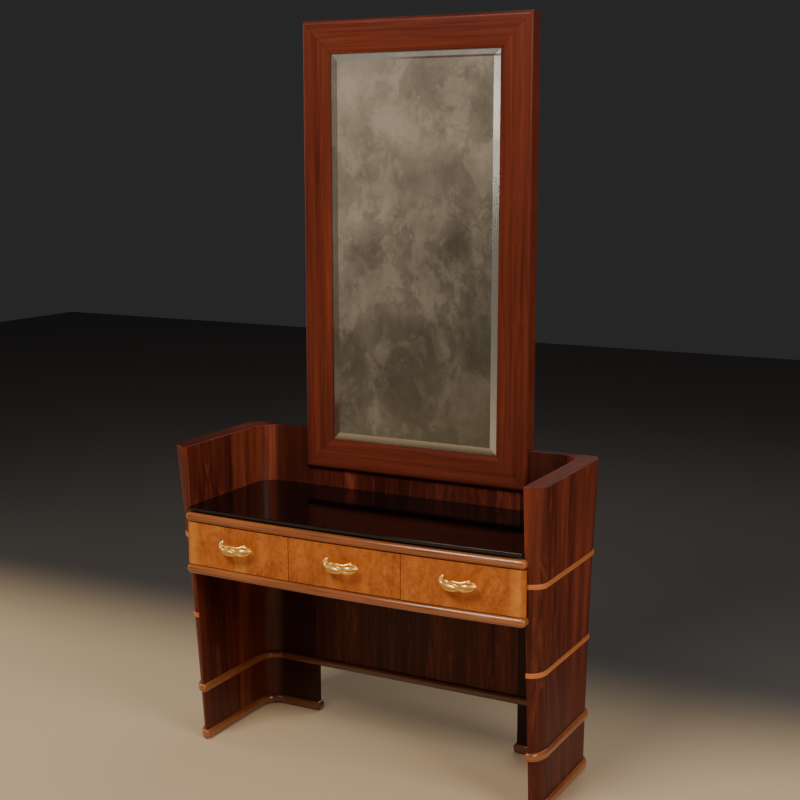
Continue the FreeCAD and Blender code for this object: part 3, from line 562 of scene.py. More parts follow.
@dataclass(frozen=True)
class AgedMirror:
    """Old silvered glass, clouded and foxed, darker towards its edges, with painted light: paler towards
    the top and the left, a painted glint on the bevel, a painted red reflection line under the top bevel
    and a matte film whose tone also stands in for the reflection.
    """

    name: str
    half_width: float
    low: float
    high: float
    bevel: float = 0.030

    def build(self) -> bpy.types.Material:
        """Make the material.

        Returns:
            The finished material.
        """
        maker = NodeMaker(self.name)
        across, depth, along = grain_axes(maker, Grain.ALONG_Z)
        place = maker.vector(across, depth, along)
        cloud = maker.noise(place, 4.2, 6.0, 0.55, 0.3)
        patch = maker.streaks(place, (9.0, 9.0, 6.0), 9.0, 0.74, 0.4).between(0.47, 0.56)
        blotch = maker.noise(place, 21.0, 6.0, 0.7, 0.6)
        fleck = maker.noise(place, 160.0, 3.0, 0.6)
        wipes = maker.streaks(place, (30.0, 30.0, 5.0), 4.0, 0.6)
        side = self.half_width - across.size()
        rim = side.below(along - self.low).below(self.high - along)
        bevel = 1.0 - rim.between(self.bevel - 0.0008, self.bevel + 0.0004)
        near_rim = 1.0 - rim.between(self.bevel, 0.075)
        # Painted reflection: a thin red line just under the top bevel.
        drop = (self.high - along) - (self.bevel - 0.0025)
        line = (1.0 - drop.size().between(0.0022, 0.0040)) * across.between(-0.14, 0.06)
        # Painted light: paler towards the top, and by the across term below, paler towards the left; the
        # rest is clouding of the silver.
        height = ((along - self.low) / (self.high - self.low)).between(-0.15, 1.0)
        cloud_and_painted_light = height * 0.50 + (cloud - 0.5) * 0.85 + patch * 0.13 + (blotch - 0.5) * 0.3
        cloud_and_painted_light = (cloud_and_painted_light + wipes * 0.14 - across * 0.45).between(0.0, 0.95)
        spots = fleck.between(0.68, 0.78) * blotch.between(0.50, 0.64)
        silver = maker.blend(cloud_and_painted_light, SILVER_WORN, SILVER_CLEAR)
        # Painted glint: the bevel is paler than the rest of the silver.
        for mask, tint in ((near_rim * 0.25, SILVER_RIM), (spots * 0.5, SILVER_SPOT),
                           (bevel, SILVER_BEVEL_PAINTED_GLINT), (line * 0.8, SILVER_PAINTED_REFLECTION_LINE)):
            silver = maker.blend(mask, silver, tint)
        metal = maker.surface({
            "Base Color": silver, "Metallic": 1.0,
            "Roughness": 0.05 + cloud_and_painted_light * 0.10 + wipes * 0.05 + spots * 0.2 + bevel * 0.06})
        # Matte film of clouding over the silver, whose tone also stands in for what the glass reflects:
        # painted reflection.
        film = maker.surface({
            "Base Color": maker.blend(cloud_and_painted_light, FILM_PAINTED_REFLECTION_DARK, FILM_PAINTED_REFLECTION_PALE),
            "Roughness": 0.5, "Coat Weight": 0.3, "Coat Roughness": 0.05})
        # Less film on the bevel and the line, so their painted glint and painted reflection show.
        share = (0.48 + cloud_and_painted_light * 0.25) * (1.0 - bevel * 0.55) * (1.0 - line * 0.7)
        mixed = maker.add("ShaderNodeMixShader", {}, {0: share, 1: metal, 2: film}).outputs[0]
        return maker.finish(mixed)


@dataclass(frozen=True)
class CastMetal:
    """Cast metal, polished on its crowns and duller in its hollows."""

    name: str
    bright: Colour
    dull: Colour
    rough: float = 0.16
    polish: float = 1.0

    def build(self) -> bpy.types.Material:
        """Make the material.

        Returns:
            The finished material.
        """
        maker = NodeMaker(self.name)
        source = maker.place()
        grime = maker.noise(source, 85.0, 5.0, 0.65, 0.4)
        pits = maker.noise(source, 900.0, 2.0, 0.5)
        crown = maker.value(maker.add("ShaderNodeNewGeometry"), "Pointiness").between(0.44, 0.53)
        worn = (crown * 0.75 + grime * 0.45).between(0.25, 0.80)
        colour = maker.blend(worn, self.dull, self.bright)
        relief = maker.bump(pits * 0.5 + grime, 0.10, 0.0004)
        return maker.finish(maker.surface({
            "Base Color": colour, "Metallic": self.polish, "Normal": relief,
            "Roughness": self.rough + (1.0 - worn) * 0.26}))


@dataclass(frozen=True)
class FloorWithPaintedShade:
    """Pale matt floor with painted shade that makes it dark far behind the table."""

    name: str
    colour: Colour
    painted_shade_reach: tuple[float, float] = (0.26, 1.15)

    def build(self) -> bpy.types.Material:
        """Make the material.

        Returns:
            The finished material.
        """
        maker = NodeMaker(self.name)
        source = maker.place()
        mottle = maker.noise(source, 1.6, 3.0)
        colour = maker.blend(mottle * 0.3, self.colour, tuple(c * 0.86 for c in self.colour))
        _, depth, _ = maker.parts(source)
        # Painted shade: the floor turns dark far behind the table.
        colour = maker.blend(depth.between(*self.painted_shade_reach) * 0.97, colour, FLOOR_PAINTED_SHADE)
        return maker.finish(maker.surface({"Base Color": colour, "Roughness": 0.5 + mottle * 0.1}))


# ------------------------------------------------------------------ frame boxes

@dataclass(frozen=True)
class Span:
    """A part's lowest and highest corners at rest."""

    low: Vector
    high: Vector

    @classmethod
    def of(cls, node: str) -> "Span":
        """Read a part's corners from the frame."""
        low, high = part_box(node)
        return cls(Vector(low), Vector(high))

    @property
    def middle(self) -> Vector:
        """Middle of the box."""
        return (self.low + self.high) * 0.5

    @property
    def size(self) -> Vector:
        """Sides of the box."""
        return self.high - self.low

    def extruded(self, section: Sequence[tuple[float, float]], steps: int) -> list[Loop]:
        """Carry a section from the box's left to its right.

        Args:
            section: The closed section, as (y, z).
            steps: How finely its length is divided.

        Returns:
            Rings from left to right.
        """
        across = [self.low.x + self.size.x * step / steps for step in range(steps + 1)]
        return [[Vector((x, depth, level)) for depth, level in section] for x in across]


# ------------------------------------------------------------------ meshes

class Run(Enum):
    """Which way the grain runs on a lofted shape."""

    RING_TO_RING = 1
    ROUND_THE_RING = 2


def turns(start: float, sweep: float, steps: int) -> list[float]:
    """Divide a turn.

    Args:
        start: Where it starts, in degrees.
        sweep: How far it goes, in degrees.
        steps: Into how many parts.

    Returns:
        The angles from its start to its end, in radians.
    """
    return [math.radians(start + sweep * step / steps) for step in range(steps + 1)]


def bow_sag(half: float, bow: float, across: float) -> float:
    """Find how far a bowed front falls back from its crown.

    Args:
        half: Half its width.
        bow: How far its crown stands out.
        across: Distance from the middle.

    Returns:
        The distance behind the crown.
    """
    arc = (half ** 2 + bow ** 2) / (2 * bow)
    return arc - math.sqrt(arc ** 2 - across ** 2)


def distances(points: Sequence[Vector], closed: bool) -> list[float]:
    """Measure along a row of points.

    Args:
        points: The points in order.
        closed: Whether the last joins the first.

    Returns:
        The distance at each point, with the whole length last if closed.
    """
    far = [0.0]
    row = list(points) + ([points[0]] if closed else [])
    for first, second in zip(row, row[1:]):
        far.append(far[-1] + (second - first).length)
    return far


class Shape:
    """Collects faces for one mesh, each with its grain map in metres."""

    def __init__(self) -> None:
        """Start with nothing."""
        self.points: list[Vector] = []
        self.faces: list[tuple[int, ...]] = []
        self.maps: list[tuple[tuple[float, float], ...]] = []

    def face(self, corners: Sequence[Vector]) -> None:
        """Add one level face of its own points, mapped as it lies.

        Args:
            corners: Its corners in order.
        """
        first = len(self.points)
        self.points.extend(corners)
        self.faces.append(tuple(range(first, first + len(corners))))
        self.maps.append(tuple((corner.x, corner.y) for corner in corners))

    def loft(self, rings: Sequence[Loop], run: Run = Run.RING_TO_RING,
             shift: tuple[float, float] = (0.0, 0.0)) -> "Shape":
        """Skin a row of closed rings and close both ends.

        Args:
            rings: Closed rings of equal count.
            run: Which way the grain runs.
            shift: Where on the veneer the piece was cut, across and along.

        Returns:
            The same shape, so that calls can follow each other.
        """
        count = len(rings[0])
        girth = distances(rings[len(rings) // 2], True)
        along = distances([sum(ring, Vector()) / count for ring in rings], False)
        first = len(self.points)
        for ring in rings:
            self.points.extend(ring)
        for number in range(len(rings) - 1):
            here, after = first + number * count, first + (number + 1) * count
            low, high = along[number], along[number + 1]
            for spot in range(count):
                beside = (spot + 1) % count
                self.faces.append((here + spot, here + beside, after + beside, after + spot))
                near, far = girth[spot], girth[spot + 1]
                corners = [(near, low), (far, low), (far, high), (near, high)]
                if run is Run.ROUND_THE_RING:
                    corners = [(level, around) for around, level in corners]
                self.maps.append(tuple((u + shift[0], v + shift[1]) for u, v in corners))
        for number in (0, len(rings) - 1):
            self.faces.append(tuple(first + number * count + spot for spot in range(count)))
            self.maps.append(tuple(self._flat(rings[number], run, shift)))
        return self

    @staticmethod
    def _flat(ring: Loop, run: Run, shift: tuple[float, float]) -> list[tuple[float, float]]:
        """Map an end face on its own plane.

        Args:
            ring: The face's outline.
            run: Which way the grain runs.
            shift: Where on the veneer it was cut.

        Returns:
            One place on the veneer for each corner.
        """
        spread = [max(p[axis] for p in ring) - min(p[axis] for p in ring) for axis in range(3)]
        thin = spread.index(min(spread))
        one, two = [axis for axis in range(3) if axis != thin]
        if run is Run.ROUND_THE_RING:
            one, two = two, one
        return [(p[one] + shift[0], p[two] + shift[1]) for p in ring]

    def mesh(self, name: str, smooth: float = CRISP) -> bpy.types.Mesh:
        """Make the mesh, merged, facing outward and smooth except at real corners.

        Args:
            name: The mesh's name.
            smooth: The angle above which an edge stays crisp, in degrees.

        Returns:
            The mesh.
        """
        mesh = bpy.data.meshes.new(name)
        mesh.from_pydata([tuple(point) for point in self.points], [], self.faces)
        layer = mesh.uv_layers.new(name=GRAIN_UV)
        flat = [corner for face in self.maps for corner in face]
        for corner, spot in zip(layer.data, flat):
            corner.uv = spot
        finish_mesh(mesh, smooth)
        return mesh


def finish_mesh(mesh: bpy.types.Mesh, smooth: float) -> None:
    """Merge doubles, face outward, and keep only real corners crisp.

    Args:
        mesh: The mesh to finish.
        smooth: The angle above which an edge stays crisp, in degrees.
    """
    work = bmesh.new()
    work.from_mesh(mesh)
    bmesh.ops.remove_doubles(work, verts=work.verts, dist=1e-6)
    bmesh.ops.dissolve_degenerate(work, edges=work.edges, dist=1e-7)
    bmesh.ops.recalc_face_normals(work, faces=work.faces)
    limit = math.radians(smooth)
    for polygon in work.faces:
        polygon.smooth = True
    for edge in work.edges:
        edge.smooth = edge.calc_face_angle(0.0) < limit
    work.to_mesh(mesh)
    work.free()
    mesh.update()


def add_bevel(piece: bpy.types.Object, width: float, segments: int = 3) -> None:
    """Ease a piece's real corners.

    Args:
        piece: The piece.
        width: How far its corners are eased.
        segments: How finely.
    """
    bevel = piece.modifiers.new("eased_edges", "BEVEL")
    bevel.width = width
    bevel.segments = segments
    bevel.limit_method = "ANGLE"
    bevel.angle_limit = math.radians(40.0)
    bevel.harden_normals = True
    bevel.miter_outer = "MITER_ARC"


def place(name: str, mesh: bpy.types.Mesh, materials: Sequence[bpy.types.Material], body: str,
          slot: str, stands_for: Sequence[str] = (), bevel: float = 0.0) -> bpy.types.Object:
    """Put a finished mesh in the scene.

    Args:
        name: The piece's name.
        mesh: Its mesh, already in place.
        materials: Its finishes, by slot.
        body: The body that carries it.
        slot: The record's slot that its finish comes from; not used.
        stands_for: The CAD parts that it replaces.
        bevel: How far its corners are eased.

    Returns:
        The piece.
    """
    piece = bpy.data.objects.new(name, mesh)
    bpy.context.scene.collection.objects.link(piece)
    mesh.materials.clear()
    for material in materials:
        mesh.materials.append(material)
    if bevel:
        add_bevel(piece, bevel)
    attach(piece, body)
    if stands_for:
        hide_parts(*stands_for)
    LOG.info("%s on %s", name, body)
    return piece


def dress(node: str, material: bpy.types.Material, bevel: float = 0.0008) -> None:
    """Give a CAD part its finish and eased edges, its mesh left as it is.

    Args:
        node: The part.
        material: Its finish.
        bevel: How far its corners are eased, or 0.
    """
    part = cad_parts[node]
    if not part.material_slots:
        part.data.materials.append(material)
    for holder in part.material_slots:
        holder.material = material
    if bevel:
        weld = part.modifiers.new("joined", "WELD")
        weld.merge_threshold = 1e-5
        add_bevel(part, bevel, 2)


# ------------------------------------------------------------------ fasteners by geometry nodes

class Fasteners:
    """Sets one head on every point of a row by Geometry Nodes."""

    def __init__(self, name: str, head: bpy.types.Mesh, material: bpy.types.Material) -> None:
        """Build the tree.

        Args:
            name: The tree's name.
            head: The head to repeat, its axis along Z.
            material: Its finish.
        """
        self.head = bpy.data.objects.new(name + "_pattern", head)
        self.tree = bpy.data.node_groups.new(name, "GeometryNodeTree")
        face = self.tree.interface
        face.new_socket("Geometry", in_out="INPUT", socket_type="NodeSocketGeometry")
        face.new_socket("Geometry", in_out="OUTPUT", socket_type="NodeSocketGeometry")
        self.turn, self.scale, self.out = (
            face.new_socket(label, in_out="INPUT", socket_type="NodeSocket" + kind).identifier
            for label, kind in (("Head turn", "Float"), ("Head scale", "Float"), ("Facing", "Vector")))
        nodes, links = self.tree.nodes, self.tree.links
        start, end = nodes.new("NodeGroupInput"), nodes.new("NodeGroupOutput")
        points = nodes.new("GeometryNodeMeshToPoints")
        info = nodes.new("GeometryNodeObjectInfo")
        info.inputs["Object"].default_value = self.head
        chance = nodes.new("FunctionNodeRandomValue")
        chance.data_type = "FLOAT"
        chance.inputs["Seed"].default_value = 7
        aim = nodes.new("FunctionNodeAlignEulerToVector")
        aim.axis = "Z"
        spin = nodes.new("ShaderNodeCombineXYZ")
        instance = nodes.new("GeometryNodeInstanceOnPoints")
        rotate = nodes.new("GeometryNodeRotateInstances")
        real = nodes.new("GeometryNodeRealizeInstances")
        paint = nodes.new("GeometryNodeSetMaterial")
        paint.inputs["Material"].default_value = material
        for giver, output, taker, socket in (
                (start, "Geometry", points, "Mesh"), (points, 0, instance, "Points"),
                (info, "Geometry", instance, "Instance"), (start, "Facing", aim, "Vector"),
                (aim, 0, instance, "Rotation"), (start, "Head scale", instance, "Scale"),
                (start, "Head turn", chance, 3), (chance, 1, spin, "Z"),
                (instance, 0, rotate, "Instances"), (spin, 0, rotate, "Rotation"),
                (rotate, 0, real, 0), (real, 0, paint, "Geometry"), (paint, 0, end, 0)):
            links.new(giver.outputs[output], taker.inputs[socket])

    def row(self, name: str, spots: Sequence[Vector], facing: Vector,
            scale: float = 1.0) -> bpy.types.Mesh:
        """Make one row of heads.

        Args:
            name: The row's name.
            spots: Where the heads sit.
            facing: Which way they face.
            scale: Size against the pattern.

        Returns:
            A plain mesh of the row.
        """
        seed = bpy.data.meshes.new(name + "_spots")
        seed.from_pydata([tuple(spot) for spot in spots], [], [])
        holder = bpy.data.objects.new(name + "_row", seed)
        bpy.context.scene.collection.objects.link(holder)
        modifier = holder.modifiers.new("heads", "NODES")
        modifier.node_group = self.tree
        modifier[self.turn] = math.tau
        modifier[self.scale] = scale
        modifier[self.out] = tuple(facing)
        graph = bpy.context.evaluated_depsgraph_get()
        result = bpy.data.meshes.new_from_object(holder.evaluated_get(graph), depsgraph=graph)
        result.name = name
        holder.modifiers.remove(modifier)
        bpy.data.objects.remove(holder)
        finish_mesh(result, CRISP)
        return result


def turned(profile: Sequence[tuple[float, float]], steps: int) -> list[Loop]:
    """Turn a profile on a lathe.

    Args:
        profile: Pairs of radius and height.
        steps: Points round each ring.

    Returns:
        One ring for each pair, about the Z axis.
    """
    ways = [(math.cos(math.tau * k / steps), math.sin(math.tau * k / steps)) for k in range(steps)]
    return [[Vector((radius * cosine, radius * sine, height)) for cosine, sine in ways]
            for radius, height in profile]


def slotted_head(radius: float, height: float, steps: int = 28) -> bpy.types.Mesh:
    """Make a domed slotted screw head about the origin, facing +Z.

    Args:
        radius: Head radius.
        height: Dome height.
        steps: Points round the head.

    Returns:
        The head's mesh.
    """
    domes = 7
    profile = [(radius * 0.96, -0.0006), (radius, 0.0)]
    profile += [(radius * math.cos(math.radians(90 * k / domes) * 0.97),
                 height * math.sin(math.radians(90 * k / domes))) for k in range(1, domes + 1)]
    shape = Shape().loft(turned(profile, steps))
    slot_half = radius * 0.13
    for index, point in enumerate(shape.points):
        near = abs(point.y)
        if point.z > height * 0.15 and near < slot_half * 2.0:
            depth = 1.0 if near < slot_half * 1.2 else 0.35
            shape.points[index] = Vector((point.x, point.y, point.z - height * 0.55 * depth))
    return shape.mesh("slotted_head", 40.0)


# ------------------------------------------------------------------ carcass

@dataclass
class Shell:
    """The flared end panels with their noses, corners, returns, bands and mouldings."""

    wood: bpy.types.Material
    band_wood: bpy.types.Material
    bead_wood: bpy.types.Material
    half_foot: float = 0.569
    half_middle: float = 0.577
    nose_foot: float = 0.132
    nose_top: float = 0.203
    round_foot: float = 0.066
    round_top: float = 0.036
    cove: float = 0.066
    corner: float = 0.040
    tuck: float = 0.0015
    inlay_grow: float = 0.0014
    levels: int = 36
    half_top: float = field(init=False)
    inner: float = field(init=False)
    top: float = field(init=False)
    back: float = field(init=False)
    rear: float = field(init=False)
    end: float = field(init=False)

    def __post_init__(self) -> None:
        """Read the sizes that the frame holds."""
        panel, back, glass = Span.of("right_end_panel"), Span.of("back_panel"), Span.of("top_board")
        self.half_top = panel.high.x
        self.top = panel.high.z
        self.inner = glass.high.x
        self.back, self.rear = back.low.y, back.high.y
        self.end = back.high.x

    def outer(self, level: float) -> float:
        """Half width over the panels at a height.

        Args:
            level: Height.

        Returns:
            Distance from the middle to the outer face.
        """
        share = level / self.top
        curve = 2 * (self.half_foot + self.half_top - 2 * self.half_middle)
        return self.half_foot + (self.half_top - self.half_foot - curve) * share + curve * share ** 2

    def nose(self, level: float) -> tuple[float, float]:
        """Nose of a panel at a height.

        Args:
            level: Height.

        Returns:
            The y of its front, and the depth of its rounding.
        """
        share = level / self.top
        front = -(self.nose_foot + (self.nose_top - self.nose_foot) * share)
        return front, self.round_foot + (self.round_top - self.round_foot) * share

    def nose_stands(self, level: float, steps: int = 18) -> Stands:
        """Points and outward directions from the inner arris round the nose.

        Args:
            level: Height.
            steps: How finely the nose is divided.

        Returns:
            Pairs of point and direction, for the right panel.
        """
        front, depth = self.nose(level)
        across = self.outer(level) - self.inner
        stands = []
        for turn in turns(0, 90, steps):
            sine, cosine = math.sin(turn), math.cos(turn)
            spot = Vector((self.inner + across * sine, front + depth - depth * cosine, level))
            stands.append((spot, Vector((sine / across, -cosine / depth, 0)).normalized()))
        return stands

    def rear_stands(self, level: float, finish: float = 90.0, steps: int = 10) -> Stands:
        """Points and directions round the outer rear corner.

        Args:
            level: Height.
            finish: Angle at which the corner stops, in degrees.
            steps: How finely it is divided.

        Returns:
            Pairs of point and direction.
        """
        centre = Vector((self.outer(level) - self.corner, self.rear - self.corner, level))
        ways = [Vector((math.cos(turn), math.sin(turn), 0)) for turn in turns(0, finish, steps)]
        return [(centre + way * self.corner, way) for way in ways]

    def inner_stands(self, level: float, steps: int = 12) -> Stands:
        """Points and directions of the cove, from the back to the inner face.

        Args:
            level: Height.
            steps: How finely it is divided.

        Returns:
            Pairs of point and direction.
        """
        centre = Vector((self.inner - self.cove, self.back - self.cove, level))
        ways = [Vector((math.cos(turn), math.sin(turn), 0)) for turn in turns(90, -90, steps)]
        return [(centre + way * self.cove, -way) for way in ways]

    def outline(self, level: float) -> Loop:
        """Closed plan outline of the right panel.

        Args:
            level: Height.

        Returns:
            The outline, from the inner arris round the nose.
        """
        nose = self.nose_stands(level)
        face = nose[-1][0]
        corner = self.rear_stands(level)
        run = [face.lerp(corner[0][0], step / 8) for step in range(1, 8)]
        rear = [Vector((self.end, self.rear, level)), Vector((self.end, self.back, level))]
        cove = [spot for spot, _ in self.inner_stands(level)]
        inside = [cove[-1].lerp(nose[0][0], step / 8) for step in range(1, 8)]
        return [spot for spot, _ in nose] + run + [spot for spot, _ in corner] + rear + cove + inside

    @staticmethod
    def sided(ring: Loop, sign: int) -> Loop:
        """Mirror a ring to the left side if wanted."""
        return [Vector((spot.x * sign, spot.y, spot.z)) for spot in ring]

    def panel(self, sign: int) -> None:
        """Build one end panel.

        Args:
            sign: 1 for the right side, -1 for the left.
        """
        side = SIDES[sign]
        heights = [self.top * step / self.levels for step in range(self.levels + 1)]
        rings = [self.sided(self.outline(level), sign) for level in heights]
        shape = Shape().loft(rings, shift=(0.03 if sign > 0 else 0.41, 0.0))
        node = side + "_end_panel"
        place(side + "_veneered_end", shape.mesh(node + "_mesh"), [self.wood], CARCASS, "rosewood",
              [node], bevel=0.0022)

    def skirt(self, low: float, tall: float, proud: float, whole: bool, flat: float, sign: int,
              inside: bool = True) -> list[Loop]:
        """Rings of a moulding that follows the panel.

        Args:
            low: Underside.
            tall: Height.
            proud: How far it stands out.
            whole: Whether it turns round the end of the return.
            flat: Power of the profile, 1 for half round, less for flatter.
            sign: Side.
            inside: Whether it also runs along the inner face.

        Returns:
            Rings from the outer rear corner to the end of the run.
        """
        steps = 12
        profile = [(low + tall * (0.5 - 0.5 * math.cos(math.pi * step / steps)),
                    proud * math.sin(math.pi * step / steps) ** flat) for step in range(steps + 1)]
        profile += [(profile[-1][0], -self.tuck), (profile[0][0], -self.tuck)]
        columns = [[spot + way * out for spot, way in self.path(level, whole, inside)]
                   for level, out in profile]
        return [self.sided(list(ring), sign) for ring in zip(*columns)]

    def path(self, level: float, whole: bool, inside: bool) -> Stands:
        """Points and directions that a moulding follows, from the outer rear corner.

        Args:
            level: Height.
            whole: Whether it turns round the end of the return.
            inside: Whether it runs along the inner face.

        Returns:
            Pairs of point and direction.
        """
        corner = list(reversed(self.rear_stands(level, 62.0 if not inside else 88.0)))
        nose = self.nose_stands(level)
        face = nose[-1]
        run = [(corner[-1][0].lerp(face[0], step / 6), OUTWARD) for step in range(1, 6)]
        stands = corner + run + list(reversed(nose))
        if not inside:
            return stands
        arris = nose[0][0]
        stands += self.about(arris, 6)
        cove = list(reversed(self.inner_stands(level)))
        stands += [(arris.lerp(cove[0][0], step / 6), -OUTWARD) for step in range(1, 6)]
        stands += cove
        tip = Vector((self.end, self.back, level))
        stands += [(cove[-1][0].lerp(tip, step / 3), FORWARD) for step in range(1, 4)]
        if whole:
            stands += self.about(tip, 4)
            stands.append((Vector((self.end, self.rear, level)), -OUTWARD))
        return stands

    @staticmethod
    def about(spot: Vector, steps: int) -> Stands:
        """Turn about a sharp corner, from facing forward to facing inward.

        Args:
            spot: The corner.
            steps: How finely the turn is divided.

        Returns:
            The corner with each direction after the first.
        """
        ways = [Vector((-math.sin(turn), -math.cos(turn), 0)) for turn in turns(0, 90, steps)[1:]]
        return [(spot, way) for way in ways]

    def build(self) -> None:
        """Build both sides."""
        inlay, bead, grow = self.band_wood, self.bead_wood, self.inlay_grow
        plans = [
            ("_upper_band", "_upper_inlay", inlay, grow, 0.0035, False, 0.35, False),
            ("_lower_band", "_lower_inlay", inlay, grow, 0.0035, False, 0.35, False),
            ("_foot_band", "_plinth_bead", bead, 0.0, 0.009, False, 0.8, True),
            ("_base_moulding", "_base_bead", bead, 0.0, 0.010, True, 0.7, True)]
        for sign in (-1, 1):
            side = SIDES[sign]
            self.panel(sign)
            for node, name, wood, wider, proud, whole, flat, inside in plans:
                box = Span.of(side + node)
                rings = self.skirt(box.low.z - wider, box.size.z + 2 * wider, proud, whole, flat, sign,
                                   inside)
                shape = Shape().loft(rings, shift=(0.0, 0.17 * sign))
                place(side + name, shape.mesh(side + name + "_mesh", CRISP_MOULDING), [wood], CARCASS,
                      "light_wood", [side + node])


@dataclass
class Top:
    """Front mouldings, stretcher moulding, back panel, glass and boards of the case."""

    wood: bpy.types.Material
    bead_wood: bpy.types.Material
    board_wood: bpy.types.Material
    case_wood: bpy.types.Material
    glass: bpy.types.Material
    bow: float = 0.015
    bar_end: float = 0.012
    cove: float = 0.066
    back_ease: float = 0.0018
    steps: int = 56

    def bar_plan(self, bar: Span, inset: float, level: float) -> Loop:
        """Plan outline of a bowed moulding.

        Args:
            bar: Its box.
            inset: How far the outline is drawn in.
            level: Height.

        Returns:
            The closed outline.
        """
        half, rear = bar.high.x - inset, bar.high.y
        radius = max(self.bar_end - inset * 0.8, 0.0012)
        chord = bar.low.y + self.bow + inset
        flat = half - radius
        crown = chord - self.bow
        across = [-flat + 2 * flat * step / self.steps for step in range(1, self.steps)]
        front = [Vector((x, crown + bow_sag(flat, self.bow, x), level)) for x in across]
        centre = chord + radius
        ends = [[Vector((side + radius * math.cos(turn), centre + radius * math.sin(turn), level))
                 for turn in turns(start, 90, 8)] for side, start in ((-flat, 180), (flat, 270))]
        return [Vector((-half, rear, level)), *ends[0], *front, *ends[1], Vector((half, rear, level))]

    def front_bar(self, node: str, name: str) -> None:
        """Half-round moulding across the front.

        Args:
            node: The CAD part that it stands for.
            name: Its name.
        """
        bar = Span.of(node)
        reach = bar.size.z * 0.46
        rings = [self.bar_plan(bar, reach * (1 - math.sin(turn)),
                               bar.low.z + bar.size.z * (0.5 - 0.5 * math.cos(turn)))
                 for turn in turns(0, 180, 14)]
        shape = Shape().loft(rings, Run.ROUND_THE_RING)
        place(name, shape.mesh(name + "_mesh", CRISP_MOULDING), [self.bead_wood], CARCASS,
              "light_wood", [node])

    def stretcher(self) -> None:
        """Half-round moulding along the lower edge of the back."""
        node = "back_rail_moulding"
        bar = Span.of(node)
        section = [(bar.high.y - bar.size.y * math.sin(math.pi * part / 12) ** 0.8,
                    bar.low.z + bar.size.z * (0.5 - 0.5 * math.cos(math.pi * part / 12)))
                   for part in range(13)]
        shape = Shape().loft(bar.extruded(section, 8))
        place("stretcher_bead", shape.mesh("stretcher_mesh", CRISP_MOULDING), [self.bead_wood], CARCASS,
              "light_wood", [node])

    def glass_plan(self, box: Span, level: float) -> Loop:
        """Plan outline of the glass.

        Args:
            box: Its box.
            level: Height.

        Returns:
            The closed outline.
        """
        half, centre = box.high.x, box.high.y - self.cove
        ring = []
        for step in range(self.steps + 1):
            x = -half + 2 * half * step / self.steps
            ring.append(Vector((x, box.low.y + bow_sag(half, self.bow, x), level)))
        for side, start in ((half - self.cove, 0), (self.cove - half, 90)):
            for turn in turns(start, 90, 12):
                out = Vector((math.cos(turn), math.sin(turn), 0)) * self.cove
                ring.append(Vector((side, centre, level)) + out)
        return ring

    def glass_top(self) -> None:
        """Black glass plate with a bowed front and eased edges."""
        box = Span.of("glass_top")
        rings = [self.glass_plan(box, level) for level in (box.low.z, box.high.z)]
        shape = Shape().loft(rings, Run.ROUND_THE_RING)
        place("black_glass_plate", shape.mesh("glass_plate_mesh"), [self.glass], CARCASS, "black_glass",
              ["glass_top"], bevel=0.0014)

    def back_board(self) -> None:
        """Veneered board across the back, with eased edges."""
        box = Span.of("back_panel")
        ease = self.back_ease
        front, rear = box.low.y + ease, box.high.y - ease
        foot, head = box.low.z + ease, box.high.z - ease
        corners = [(front, foot, 180), (rear, foot, 270), (rear, head, 0), (front, head, 90)]
        section = [(depth + ease * math.cos(turn), level + ease * math.sin(turn))
                   for depth, level, start in corners for turn in turns(start, 90, 4)]
        shape = Shape().loft(box.extruded(section, 12), Run.ROUND_THE_RING)
        place("veneered_back", shape.mesh("veneered_back_mesh"), [self.wood], CARCASS, "rosewood",
              ["back_panel"])

    def build(self) -> None:
        """Build and dress everything."""
        self.front_bar("top_front_moulding", "upper_front_bead")
        self.front_bar("bottom_front_moulding", "lower_front_bead")
        self.stretcher()
        self.glass_top()
        self.back_board()
        dress("top_board", self.board_wood)
        for node in ("case_bottom_board", "case_back_board", "left_partition", "right_partition"):
            dress(node, self.case_wood)


# ------------------------------------------------------------------ mirror

